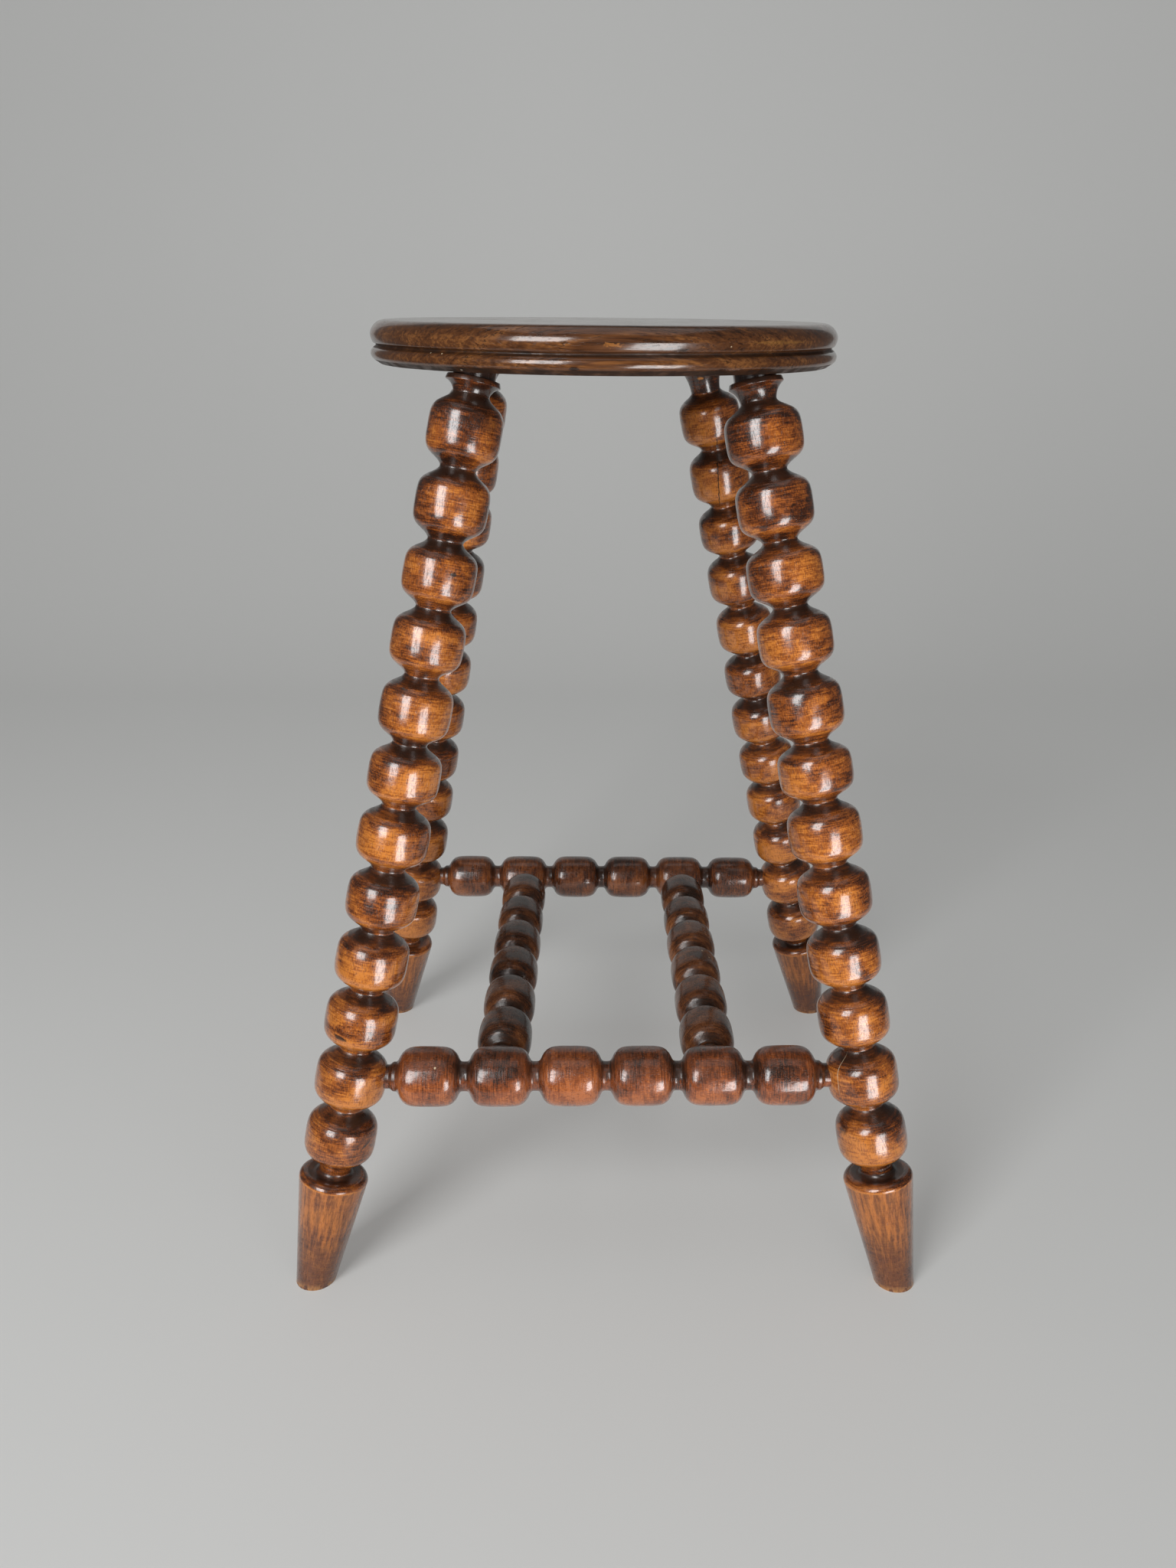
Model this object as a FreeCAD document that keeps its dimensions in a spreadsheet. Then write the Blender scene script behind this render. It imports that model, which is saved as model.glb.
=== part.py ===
import FreeCAD, Part
import os
import Sketcher

# Bobbin-turned high stool
# A round moulded seat stands on four splayed turned legs. A turned stretcher joins the two
# front legs and another the two back legs, and two lighter cross stretchers run between them.
# Millimetres, +Z up, +X to the sitter's right in front view, -Y to the front.
# The origin is on the floor under the middle of the seat.

# Sizes
SIZES = {
    # Seat disc
    "seat_diameter": 300.0,
    "seat_height": 608.4,
    "seat_thickness": 26.2,
    "seat_top_flat_diameter": 279.6,
    "seat_underside_diameter": 288.0,
    "seat_chamfer_height": 2.8,
    "lower_bead_height": 10.0,
    "rim_groove_height": 2.6,
    "rim_groove_depth": 3.4,
    # Degrees by which the seat is out of level: its front and its right side are lower
    "seat_tilt_forward": 2.1,
    "seat_tilt_right": 0.8,
    # Where the leg axes meet the seat's underside and the floor
    "leg_top_half_width": 80.7,
    "leg_top_half_depth": 96.6,
    "foot_half_width": 195.0,
    "foot_half_depth": 181.3,
    # Degrees by which the seat's four mortises are turned on the base
    "seat_turn": 3.9,
    # Leg turning, from the seat down
    "leg_tenon_diameter": 25.0,
    "leg_tenon_length": 19.0,
    "lip_diameter": 32.6,
    "lip_edge_height": 3.0,
    "leg_row_drop": 20.9,
    "leg_bobbin_count": 12,
    "leg_bobbin_diameter": 44.8,
    "leg_neck_diameter": 21.4,
    "foot_neck_height": 6.6,
    "foot_ring_diameter": 37.4,
    "foot_rim_diameter": 45.4,
    "foot_rim_drop": 4.2,
    "foot_height": 76.2,
    "foot_tip_diameter": 24.0,
    "sole_allowance": 8.0,
    # Stretchers
    "stretcher_height": 144.5,
    "stretcher_bobbin_count": 6,
    "front_stretcher_diameter": 39.4,
    "back_stretcher_diameter": 36.4,
    "stretcher_neck_diameter": 17.6,
    "stretcher_end_neck": 5.2,
    "stretcher_tenon_diameter": 15.4,
    "stretcher_tenon_depth": 14.0,
    # Cross stretchers
    "cross_stretcher_diameter": 36.6,
    "cross_neck_diameter": 16.4,
    "cross_end_neck": 5.0,
    "cross_tenon_diameter": 13.6,
    "cross_tenon_depth": 11.0,
    # Fits
    "tenon_clearance": 0.1,
    "mortise_end_gap": 1.0,
    "overrun": 6.0,
}

# Outline of a bobbin. The cove is given by shares of the rise and run from the neck to the
# shoulder, the other points by a share of the bobbin's radius and a share of half its pitch.
LEG_BOBBIN_SHARES = {
    "cove": (0.266, 0.566),
    "shoulder_start": (0.580, 0.860),
    "shoulder_end": (0.835, 0.690),
    "corner": (0.940, 0.556),
    "side": (0.988, 0.370),
}
# A stretcher's bobbin has a longer barrel and wider coves
RAIL_BOBBIN_SHARES = {
    "cove": (0.262, 0.550),
    "shoulder_start": (0.610, 0.860),
    "shoulder_end": (0.870, 0.673),
    "corner": (0.955, 0.555),
    "side": (0.987, 0.410),
}

# Outline shares of the seat's rim
CHAMFER_OUT_SHARE = 0.72
LOWER_BEAD_WIDEST_SHARE = 0.38
LOWER_BEAD_END_SHARE = 0.65
GROOVE_ROOT_LOW_SHARE = 0.35
GROOVE_ROOT_HIGH_SHARE = 0.70
UPPER_BEAD_START_SHARE = 0.47
UPPER_BEAD_LOW_SHARES = (0.125, 0.19)
UPPER_BEAD_WIDEST_SHARE = 0.40
UPPER_BEAD_HIGH_SHARES = (0.336, 0.715)

# Outline shares of the collar under the seat and of the foot
COLLAR_COVE_SHARES = (0.20, 0.45)
LIP_TOP_SHARE = 0.95
FOOT_NECK_END_SHARE = 0.70
FOOT_FILLET_SHARES = (0.10, 0.25)
FOOT_RING_START_SHARE = 0.33
FOOT_RING_DISH_SHARE = 0.12
FOOT_RIM_SHARES = (0.72, 0.32)

# Share of a stretcher's end neck over which it narrows to its tenon
END_TAPER_SHARE = 0.45

# Share of the row of bobbins between a stretcher's middle and each cross stretcher
CROSS_PLACE_SHARE = 0.25

LEGS = {
    "leg_front_left": (-1, -1),
    "leg_front_right": (1, -1),
    "leg_back_left": (-1, 1),
    "leg_back_right": (1, 1),
}

doc = FreeCAD.newDocument("BobbinStool")


class Size:
    """A number together with the expression that gives it.

    Sums, differences, products and quotients of sizes are sizes again, so an outline written
    with them keeps both the value to draw with and the expression to bind it to.
    """

    def __init__(self, value, text):
        self.value = float(value)
        self.text = text

    def _join(self, other, sign, value):
        other_text = other.text if isinstance(other, Size) else repr(other)
        return Size(value, f"({self.text} {sign} {other_text})")

    def __add__(self, other):
        return self._join(other, "+", self.value + number(other))

    def __sub__(self, other):
        return self._join(other, "-", self.value - number(other))

    def __mul__(self, other):
        return self._join(other, "*", self.value * number(other))

    def __truediv__(self, other):
        return self._join(other, "/", self.value / number(other))

    def __neg__(self):
        return Size(-self.value, f"(-1 * {self.text})")


def number(item):
    """Give the plain value of a size or a number."""
    return item.value if isinstance(item, Size) else float(item)


# The sheet of sizes
sheet = doc.addObject("Spreadsheet::Sheet", "Sizes")
for row, (alias, amount) in enumerate(SIZES.items(), start=1):
    sheet.set(f"A{row}", alias)
    sheet.set(f"B{row}", str(amount))
    sheet.setAlias(f"B{row}", alias)
doc.recompute()

size = {alias: Size(amount, f"Sizes.{alias}") for alias, amount in SIZES.items()}
ZERO = Size(0, "0")

# Lines that the pieces are set out on
lines = doc.addObject("App::VarSet", "Lines")


def derive(name, formula):
    """Add a derived number to the set-out and return it as a size."""
    lines.addProperty("App::PropertyFloat", name, "Lengths")
    lines.setExpression(name, formula)
    lines.recompute()
    return Size(getattr(lines, name), f"Lines.{name}")


def derive_point(name, formula):
    """Add a derived point to the set-out and return the text that names it."""
    lines.addProperty("App::PropertyVector", name, "Points")
    lines.setExpression(name, formula)
    lines.recompute()
    return f"Lines.{name}"


def vector_text(x, y, z):
    """Write a vector for an expression."""
    return f"create(<<vector>>; {x}; {y}; {z})"


def turn_text(axis, angle):
    """Write a rotation about an axis for an expression."""
    return f"create(<<rotation>>; {axis}; {angle})"


X_AXIS = vector_text(1, 0, 0)
Y_AXIS = vector_text(0, 1, 0)
Z_AXIS = vector_text(0, 0, 1)
NO_TURN = turn_text(Z_AXIS, 0)

# The seat's own frame: on the middle of its underside, with +Z square to it
underside = derive("underside", "Sizes.seat_height - Sizes.seat_thickness")
seat_middle = vector_text(0, 0, underside.text)
forward_turn = turn_text(X_AXIS, "Sizes.seat_tilt_forward")
right_turn = turn_text(Y_AXIS, "Sizes.seat_tilt_right")
seat_tilt = f"{forward_turn} * {right_turn}"
lines.addProperty("App::PropertyPlacement", "seat_place", "Places")
lines.setExpression("seat_place", f"create(<<placement>>; {seat_middle}; {seat_tilt})")
seat_normal = derive_point("seat_normal", f"{seat_tilt} * {Z_AXIS}")


def set_out(name, start, end):
    """Derive the run between two points and its length, and return both."""
    run = derive_point(f"{name}_run", f"{end} - {start}")
    length = derive(f"{name}_length", f"sqrt({run}.x ^ 2 + {run}.y ^ 2 + {run}.z ^ 2)")
    return run, length


def place_along(item, start, run):
    """Set an object's origin on a point and its Z axis along a run from there."""
    across = f"sqrt({run}.x ^ 2 + {run}.y ^ 2)"
    bearing = turn_text(Z_AXIS, f"atan2({run}.y; {run}.x)")
    lean = turn_text(Y_AXIS, f"atan2({across}; {run}.z)")
    item.setExpression("Placement", f"create(<<placement>>; {start}; {bearing} * {lean})")


# Leg axes
leg_top = {}
leg_foot = {}
leg_run = {}
leg_length = {}
leg_row_top = {}
leg_lean = {}
for leg, (side, depth) in LEGS.items():
    seat_x = f"({side} * Sizes.leg_top_half_width)"
    seat_y = f"({depth} * Sizes.leg_top_half_depth)"
    turned_x = f"{seat_x} * cos(Sizes.seat_turn) - {seat_y} * sin(Sizes.seat_turn)"
    turned_y = f"{seat_x} * sin(Sizes.seat_turn) + {seat_y} * cos(Sizes.seat_turn)"
    leg_top[leg] = derive_point(
        f"{leg}_top", f"Lines.seat_place * {vector_text(turned_x, turned_y, 0)}"
    )
    foot_x = f"{side} * Sizes.foot_half_width"
    foot_y = f"{depth} * Sizes.foot_half_depth"
    leg_foot[leg] = derive_point(f"{leg}_foot", vector_text(foot_x, foot_y, 0))
    leg_run[leg], leg_length[leg] = set_out(leg, leg_foot[leg], leg_top[leg])
    # The top of the row of bobbins, which is set out from the level of the seat's middle
    level_share = f"(Lines.underside / {leg_run[leg]}.z)"
    leg_row_top[leg] = derive(
        f"{leg}_row_top", f"Lines.{leg}_length * {level_share} - Sizes.leg_row_drop"
    )
    # The tangent of the angle between the leg and the line square to the seat
    along_normal = " + ".join(f"{leg_run[leg]}.{axis} * {seat_normal}.{axis}" for axis in "xyz")
    leg_lean[leg] = derive(
        f"{leg}_lean", f"sqrt((Lines.{leg}_length / ({along_normal})) ^ 2 - 1)"
    )


def point_on_leg(name, leg, height):
    """Derive the point where a leg's axis passes a height above the floor."""
    share = f"({height.text} / {leg_top[leg]}.z)"
    return derive_point(name, f"{leg_foot[leg]} + ({leg_top[leg]} - {leg_foot[leg]}) * {share}")


class Outline:
    """A closed half section of a turned piece, drawn from the axis out and back to it."""

    def __init__(self, body, name, start_height):
        self.sketch = body.newObject("Sketcher::SketchObject", name)
        plane = next(p for p in body.Origin.OriginFeatures if p.Role == "XZ_Plane")
        self.sketch.AttachmentSupport = [(plane, "")]
        self.sketch.MapMode = "FlatFace"
        self.here = (ZERO, start_height)
        self.first = None
        self.last = None

    def _vector(self, point):
        return FreeCAD.Vector(point[0].value, point[1].value, 0)

    def _pin(self, geometry, end, point):
        """Bind a vertex to its distance from the axis and its height."""
        for kind, axis, amount in (("DistanceX", -2, point[0]), ("DistanceY", -1, point[1])):
            if amount is ZERO:
                self.sketch.addConstraint(
                    Sketcher.Constraint("PointOnObject", geometry, end, axis)
                )
                continue
            index = self.sketch.addConstraint(
                Sketcher.Constraint(kind, geometry, end, amount.value)
            )
            self.sketch.setExpression(f"Constraints[{index}]", amount.text)

    def _append(self, curve, point):
        """Add an edge that carries on from the last one, and pin its far end to a point."""
        geometry = self.sketch.addGeometry(curve, False)
        here = self._vector(self.here)
        # A curve's vertices are numbered 1 and 2, and the edge carries on from the nearer one
        start, end = sorted(
            (1, 2), key=lambda vertex: self.sketch.getPoint(geometry, vertex).sub(here).Length
        )
        if self.last is None:
            self.first = (geometry, start)
            self._pin(geometry, start, self.here)
        else:
            self.sketch.addConstraint(
                Sketcher.Constraint("Coincident", self.last[0], self.last[1], geometry, start)
            )
        if point is not None:
            self._pin(geometry, end, point)
            self.here = point
        self.last = (geometry, end)
        return geometry

    def line(self, radius, height):
        """Draw a straight edge to a radius and height."""
        point = (radius, height)
        self._append(Part.LineSegment(self._vector(self.here), self._vector(point)), point)

    def arc(self, through, to):
        """Draw an arc through one point to another."""
        curve = Part.Arc(self._vector(self.here), self._vector(through), self._vector(to))
        geometry = self._append(curve, to)
        mark = self.sketch.addGeometry(Part.Point(self._vector(through)), True)
        self._pin(mark, 1, through)
        self.sketch.addConstraint(Sketcher.Constraint("PointOnObject", mark, 1, geometry))

    def close(self):
        """Close the outline along the axis."""
        end = self.sketch.getPoint(*self.first)
        start = self._vector(self.here)
        geometry = self.sketch.addGeometry(Part.LineSegment(start, end), False)
        self.sketch.addConstraint(
            Sketcher.Constraint("Coincident", self.last[0], self.last[1], geometry, 1)
        )
        self.sketch.addConstraint(
            Sketcher.Constraint("Coincident", geometry, 2, self.first[0], self.first[1])
        )
        return self.sketch


def revolve(body, name, sketch):
    """Turn a closed half section about the body's own axis."""
    turning = body.newObject("PartDesign::Revolution", name)
    turning.Profile = sketch
    turning.ReferenceAxis = (sketch, ["V_Axis"])
    turning.Angle = 360.0
    sketch.Visibility = False
    return turning


def add_bobbins(body, base, diameter, neck_diameter, pitch, count, shares):
    """Turn a row of equal bobbins with coves between them, the first one above base."""
    radius = diameter / 2
    neck = neck_diameter / 2
    half = pitch / 2
    middle = base + half

    def at(pair, side):
        """Give a point of the barrel, on its lower side (-1) or its upper side (1)."""
        return (radius * pair[0], middle + half * (side * pair[1]))

    def in_cove(side):
        """Give the middle of the cove's arc, between the neck and the shoulder."""
        shoulder_radius, shoulder_height = at(shares["shoulder_start"], side)
        rise, run = shares["cove"]
        end = middle + half * side
        return (neck + (shoulder_radius - neck) * rise, end + (shoulder_height - end) * run)

    outline = Outline(body, "BobbinSection", base)
    outline.line(neck, base)
    outline.arc(in_cove(-1), at(shares["shoulder_start"], -1))
    outline.line(*at(shares["shoulder_end"], -1))
    outline.arc(at(shares["corner"], -1), at(shares["side"], -1))
    outline.arc((radius, middle), at(shares["side"], 1))
    outline.arc(at(shares["corner"], 1), at(shares["shoulder_end"], 1))
    outline.line(*at(shares["shoulder_start"], 1))
    outline.arc(in_cove(1), (neck, base + pitch))
    outline.line(ZERO, base + pitch)
    bobbin = revolve(body, "Bobbin", outline.close())

    row = body.newObject("PartDesign::LinearPattern", "BobbinRow")
    row.Originals = [bobbin]
    axis = next(a for a in body.Origin.OriginFeatures if a.Role == "Z_Axis")
    row.Direction = (axis, [""])
    row.setExpression("Length", f"{pitch.text} * ({count.text} - 1)")
    row.setExpression("Occurrences", count.text)
    body.Tip = row
    return base + pitch * count


# Seat disc, with a bullnose bead over a smaller bead and a groove between them
seat_disc = doc.addObject("PartDesign::Body", "SeatDisc")
rim = size["seat_diameter"] / 2
flat = size["seat_top_flat_diameter"] / 2
under = size["seat_underside_diameter"] / 2
chamfer = size["seat_chamfer_height"]
groove = size["rim_groove_depth"]
groove_low = size["lower_bead_height"]
groove_high = groove_low + size["rim_groove_height"]
bullnose = size["seat_thickness"] - groove_high
widest = groove_high + bullnose * UPPER_BEAD_WIDEST_SHARE
shoulder = size["seat_thickness"] - widest

outline = Outline(seat_disc, "SeatSection", ZERO)
outline.line(under, ZERO)
outline.line(under + (rim - under) * CHAMFER_OUT_SHARE, chamfer)
outline.arc(
    (rim, chamfer + (groove_low - chamfer) * LOWER_BEAD_WIDEST_SHARE),
    (rim - groove * LOWER_BEAD_END_SHARE, groove_low),
)
outline.line(rim - groove, groove_low + size["rim_groove_height"] * GROOVE_ROOT_LOW_SHARE)
outline.line(rim - groove, groove_low + size["rim_groove_height"] * GROOVE_ROOT_HIGH_SHARE)
outline.line(rim - groove * UPPER_BEAD_START_SHARE, groove_high)
outline.arc(
    (rim - groove * UPPER_BEAD_LOW_SHARES[0], groove_high + bullnose * UPPER_BEAD_LOW_SHARES[1]),
    (rim, widest),
)
outline.arc(
    (
        rim - (rim - flat) * UPPER_BEAD_HIGH_SHARES[0],
        widest + shoulder * UPPER_BEAD_HIGH_SHARES[1],
    ),
    (flat, size["seat_thickness"]),
)
outline.line(ZERO, size["seat_thickness"])
revolve(seat_disc, "SeatTurning", outline.close())
seat_disc.setExpression("Placement", "Lines.seat_place")

# Leg turnings, each with its origin at the sole and +Z along it to the seat
leg_body = {}
for leg in LEGS:
    body = doc.addObject("PartDesign::Body", f"{leg}_turning")
    length = leg_length[leg]
    neck = size["leg_neck_diameter"] / 2
    ring_height = size["foot_height"] + size["foot_rim_drop"]
    first_neck = ring_height + size["foot_neck_height"]
    lip = size["lip_diameter"] / 2
    # The lip is square to the leg, so only its outer edge reaches the seat
    lip_height = length - lip * leg_lean[leg] - size["tenon_clearance"]
    last_neck = leg_row_top[leg]
    pitch = derive(
        f"{leg}_bobbin_pitch",
        f"({last_neck.text} - {first_neck.text}) / Sizes.leg_bobbin_count",
    )
    add_bobbins(
        body,
        first_neck,
        size["leg_bobbin_diameter"],
        size["leg_neck_diameter"],
        pitch,
        size["leg_bobbin_count"],
        LEG_BOBBIN_SHARES,
    )

    # Foot: a straight taper under a rounded rim, a dished ring and a short neck
    ring = size["foot_ring_diameter"] / 2
    rim_radius = size["foot_rim_diameter"] / 2
    ring_start = neck + (ring - neck) * FOOT_RING_START_SHARE
    neck_end = ring_height + size["foot_neck_height"] * FOOT_NECK_END_SHARE
    dish = ring_height - size["foot_rim_drop"] * FOOT_RING_DISH_SHARE
    outline = Outline(body, "FootSection", -size["sole_allowance"])
    outline.line(size["foot_tip_diameter"] / 2, -size["sole_allowance"])
    outline.line(rim_radius, size["foot_height"])
    outline.arc(
        (
            ring + (rim_radius - ring) * FOOT_RIM_SHARES[0],
            ring_height - size["foot_rim_drop"] * FOOT_RIM_SHARES[1],
        ),
        (ring, ring_height),
    )
    outline.line(ring_start, dish)
    outline.arc(
        (
            neck + (ring_start - neck) * FOOT_FILLET_SHARES[0],
            dish + (neck_end - dish) * FOOT_FILLET_SHARES[1],
        ),
        (neck, neck_end),
    )
    outline.line(neck, first_neck)
    outline.line(ZERO, first_neck)
    revolve(body, "Foot", outline.close())

    # Collar and tenon: a cove that opens to the lip, and a round tenon for the seat
    tenon = size["leg_tenon_diameter"] / 2
    lip_low = lip_height - size["lip_edge_height"]
    outline = Outline(body, "CollarSection", last_neck)
    outline.line(neck, last_neck)
    outline.arc(
        (
            neck + (lip - neck) * COLLAR_COVE_SHARES[0],
            last_neck + (lip_low - last_neck) * COLLAR_COVE_SHARES[1],
        ),
        (lip, lip_low),
    )
    outline.line(lip * LIP_TOP_SHARE, lip_height)
    outline.line(tenon, lip_height)
    outline.line(tenon, length + size["leg_tenon_length"])
    outline.line(ZERO, length + size["leg_tenon_length"])
    revolve(body, "Collar", outline.close())
    place_along(body, leg_foot[leg], leg_run[leg])
    leg_body[leg] = body


def bore(name, diameter, length, along, start):
    """Make the cylinder that a round tenon needs cleared, on the axis of the piece it is on."""
    tool = doc.addObject("Part::Cylinder", name)
    tool.setExpression("Radius", f"{diameter.text} / 2 + Sizes.tenon_clearance")
    tool.setExpression("Height", length.text)
    shift = f"create(<<placement>>; {vector_text(0, 0, start.text)}; {NO_TURN})"
    tool.setExpression("Placement", f"{along.Name}.Placement * {shift}")
    return tool


def cut(label, base, tools):
    """Cut the tools from a piece and give the result the piece's own name."""
    cutter = tools[0]
    if len(tools) > 1:
        cutter = doc.addObject("Part::Compound", f"{label}_cuts")
        cutter.Links = tools
    piece = doc.addObject("Part::Cut", label)
    piece.Label = label
    piece.Base = base
    piece.Tool = cutter
    return piece


# Seat, with a blind mortise for each leg's tenon
seat_bores = [
    bore(
        f"{leg}_seat_bore",
        size["leg_tenon_diameter"],
        size["leg_tenon_length"] + size["mortise_end_gap"] + size["overrun"],
        leg_body[leg],
        leg_length[leg] - size["overrun"],
    )
    for leg in LEGS
]
pieces = [cut("seat", seat_disc, seat_bores)]


def add_rail(name, start, end, diameter, neck, reach_start, reach_end, ends):
    """Turn a stretcher between two points on the axes of the pieces that carry it.

    The row of bobbins stands clear of the two surfaces by the end necks, and a tenon runs on
    into each.
    """
    end_neck, tenon_diameter, depth, count = ends
    body = doc.addObject("PartDesign::Body", name)
    run, length = set_out(name, start, end)
    row_start = reach_start + end_neck
    row_end = length - reach_end - end_neck
    pitch = derive(f"{name}_bobbin_pitch", f"({row_end.text} - {row_start.text}) / {count.text}")
    add_bobbins(body, row_start, diameter, neck, pitch, count, RAIL_BOBBIN_SHARES)

    tenon = tenon_diameter / 2
    taper = end_neck * END_TAPER_SHARE
    tip = reach_start - depth
    outline = Outline(body, "StartTenonSection", tip)
    outline.line(tenon, tip)
    outline.line(tenon, row_start - taper)
    outline.line(neck / 2, row_start)
    outline.line(ZERO, row_start)
    revolve(body, "StartTenon", outline.close())
    tip = length - reach_end + depth
    outline = Outline(body, "EndTenonSection", row_end)
    outline.line(neck / 2, row_end)
    outline.line(tenon, row_end + taper)
    outline.line(tenon, tip)
    outline.line(ZERO, tip)
    revolve(body, "EndTenon", outline.close())
    place_along(body, start, run)

    gap = size["mortise_end_gap"]
    bored = length - reach_start - reach_end + depth * 2 + gap * 2
    tool = bore(f"{name}_bore", tenon_diameter, bored, body, reach_start - depth - gap)
    return body, length, pitch, tool


# Front and back stretchers, between the leg axes at one height
leg_reach = size["leg_bobbin_diameter"] / 2
rail_ends = (
    size["stretcher_end_neck"],
    size["stretcher_tenon_diameter"],
    size["stretcher_tenon_depth"],
    size["stretcher_bobbin_count"],
)
rail_start = {}
rail_end = {}
rail_parts = {}
for row in ("front", "back"):
    rail = f"stretcher_{row}"
    rail_start[row] = point_on_leg(f"{rail}_start", f"leg_{row}_left", size["stretcher_height"])
    rail_end[row] = point_on_leg(f"{rail}_end", f"leg_{row}_right", size["stretcher_height"])
    rail_parts[row] = add_rail(
        f"{rail}_turning",
        rail_start[row],
        rail_end[row],
        size[f"{row}_stretcher_diameter"],
        size["stretcher_neck_diameter"],
        leg_reach,
        leg_reach,
        rail_ends,
    )

# Cross stretchers, between the second bobbins from the ends of the other two
cross_ends = (
    size["cross_end_neck"],
    size["cross_tenon_diameter"],
    size["cross_tenon_depth"],
    size["stretcher_bobbin_count"],
)
cross_bores = []
for side, sign in (("left", -1), ("right", 1)):
    ends = []
    for row in ("front", "back"):
        body, length, pitch, tool = rail_parts[row]
        middle = f"(({rail_start[row]} + {rail_end[row]}) / 2)"
        along = f"(({rail_end[row]} - {rail_start[row]}) / {length.text})"
        offset = f"({sign} * {pitch.text} * {CROSS_PLACE_SHARE} * Sizes.stretcher_bobbin_count)"
        ends.append(derive_point(f"cross_{side}_{row}", f"{middle} + {along} * {offset}"))
    body, length, pitch, tool = add_rail(
        f"cross_stretcher_{side}",
        ends[0],
        ends[1],
        size["cross_stretcher_diameter"],
        size["cross_neck_diameter"],
        size["front_stretcher_diameter"] / 2,
        size["back_stretcher_diameter"] / 2,
        cross_ends,
    )
    body.Label = f"cross_stretcher_{side}"
    pieces.append(body)
    cross_bores.append(tool)

for row in ("front", "back"):
    pieces.append(cut(f"stretcher_{row}", rail_parts[row][0], cross_bores))

# Legs, bored for the stretchers and sawn level at the floor
floor_cut = doc.addObject("Part::Box", "FloorCut")
floor_cut.setExpression("Length", "2 * Sizes.foot_half_width + 2 * Sizes.foot_rim_diameter")
floor_cut.setExpression("Width", "2 * Sizes.foot_half_depth + 2 * Sizes.foot_rim_diameter")
floor_cut.setExpression("Height", "2 * Sizes.sole_allowance + Sizes.overrun")
floor_cut.setExpression(".Placement.Base.x", "-0.5 * Length")
floor_cut.setExpression(".Placement.Base.y", "-0.5 * Width")
floor_cut.setExpression(".Placement.Base.z", "-1 * Height")
for leg in LEGS:
    row = leg.split("_")[1]
    pieces.append(cut(leg, leg_body[leg], [rail_parts[row][3], floor_cut]))

doc.recompute()

# Every object must have come out whole before anything is written
for item in doc.Objects:
    if {"Invalid", "Error"} & set(item.State):
        raise RuntimeError(f"{item.Label} failed: {item.State}")
for piece in pieces:
    if piece.Shape.isNull() or not piece.Shape.isValid() or len(piece.Shape.Solids) != 1:
        raise RuntimeError(f"{piece.Label} is not one valid solid")

os.makedirs("parts", exist_ok=True)
for piece in pieces:
    piece.Shape.exportStep(f"parts/{piece.Label}.step")
    box = piece.Shape.BoundBox
    print(f"{piece.Label}: {piece.Shape.Volume / 1000:.1f} cm3, "
          f"x {box.XMin:.1f} to {box.XMax:.1f}, y {box.YMin:.1f} to {box.YMax:.1f}, "
          f"z {box.ZMin:.1f} to {box.ZMax:.1f}")
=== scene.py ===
import logging
from dataclasses import dataclass
from enum import Enum
from functools import reduce
from typing import Callable, ClassVar, Iterable, Sequence

import bpy
import numpy as np
from mathutils import Matrix, Vector


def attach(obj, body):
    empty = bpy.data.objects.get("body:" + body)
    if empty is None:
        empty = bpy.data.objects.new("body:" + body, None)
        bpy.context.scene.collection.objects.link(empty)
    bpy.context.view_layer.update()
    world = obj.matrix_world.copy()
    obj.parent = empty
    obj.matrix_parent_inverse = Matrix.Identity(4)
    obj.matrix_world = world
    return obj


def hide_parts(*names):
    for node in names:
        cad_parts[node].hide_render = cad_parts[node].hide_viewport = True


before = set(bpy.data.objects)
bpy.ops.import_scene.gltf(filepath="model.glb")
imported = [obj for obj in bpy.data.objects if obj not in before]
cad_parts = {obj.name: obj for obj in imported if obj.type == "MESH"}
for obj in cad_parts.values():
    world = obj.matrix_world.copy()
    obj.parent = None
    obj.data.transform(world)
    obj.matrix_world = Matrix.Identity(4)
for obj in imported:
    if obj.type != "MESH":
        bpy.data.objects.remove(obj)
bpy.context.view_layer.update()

"""Looks of the bobbin-turned high stool.

Every piece is one turning: a half section in (radius, height) turned about the piece's own
axis. The half sections follow the same driving sizes as the solids, in metres.
"""

LOG = logging.getLogger("stool")
Array = np.ndarray
Point = tuple[float, float]
Triple = tuple[float, float, float]


def unit(vector: Array) -> Array:
    """Scale vectors on the last axis to length one."""
    return vector / np.maximum(np.linalg.norm(vector, axis=-1, keepdims=True), 1e-12)


def ease(value: Array, low: float, high: float) -> Array:
    """Rise smoothly from 0 at low to 1 at high, by 3t^2 - 2t^3."""
    t = np.clip((value - low) / (high - low), 0.0, 1.0)
    return t * t * (3.0 - 2.0 * t)


def turn_about(axis: int, degrees: float) -> Array:
    """Give the matrix of a turn about X (0), Y (1) or Z (2)."""
    c, s = np.cos(np.radians(degrees)), np.sin(np.radians(degrees))
    a, b = [k for k in range(3) if k != axis]
    if axis == 1:
        s = -s
    matrix = np.eye(3)
    matrix[a, a] = matrix[b, b] = c
    matrix[a, b], matrix[b, a] = -s, s
    return matrix


# ---------------------------------------------------------------- set-out


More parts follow.
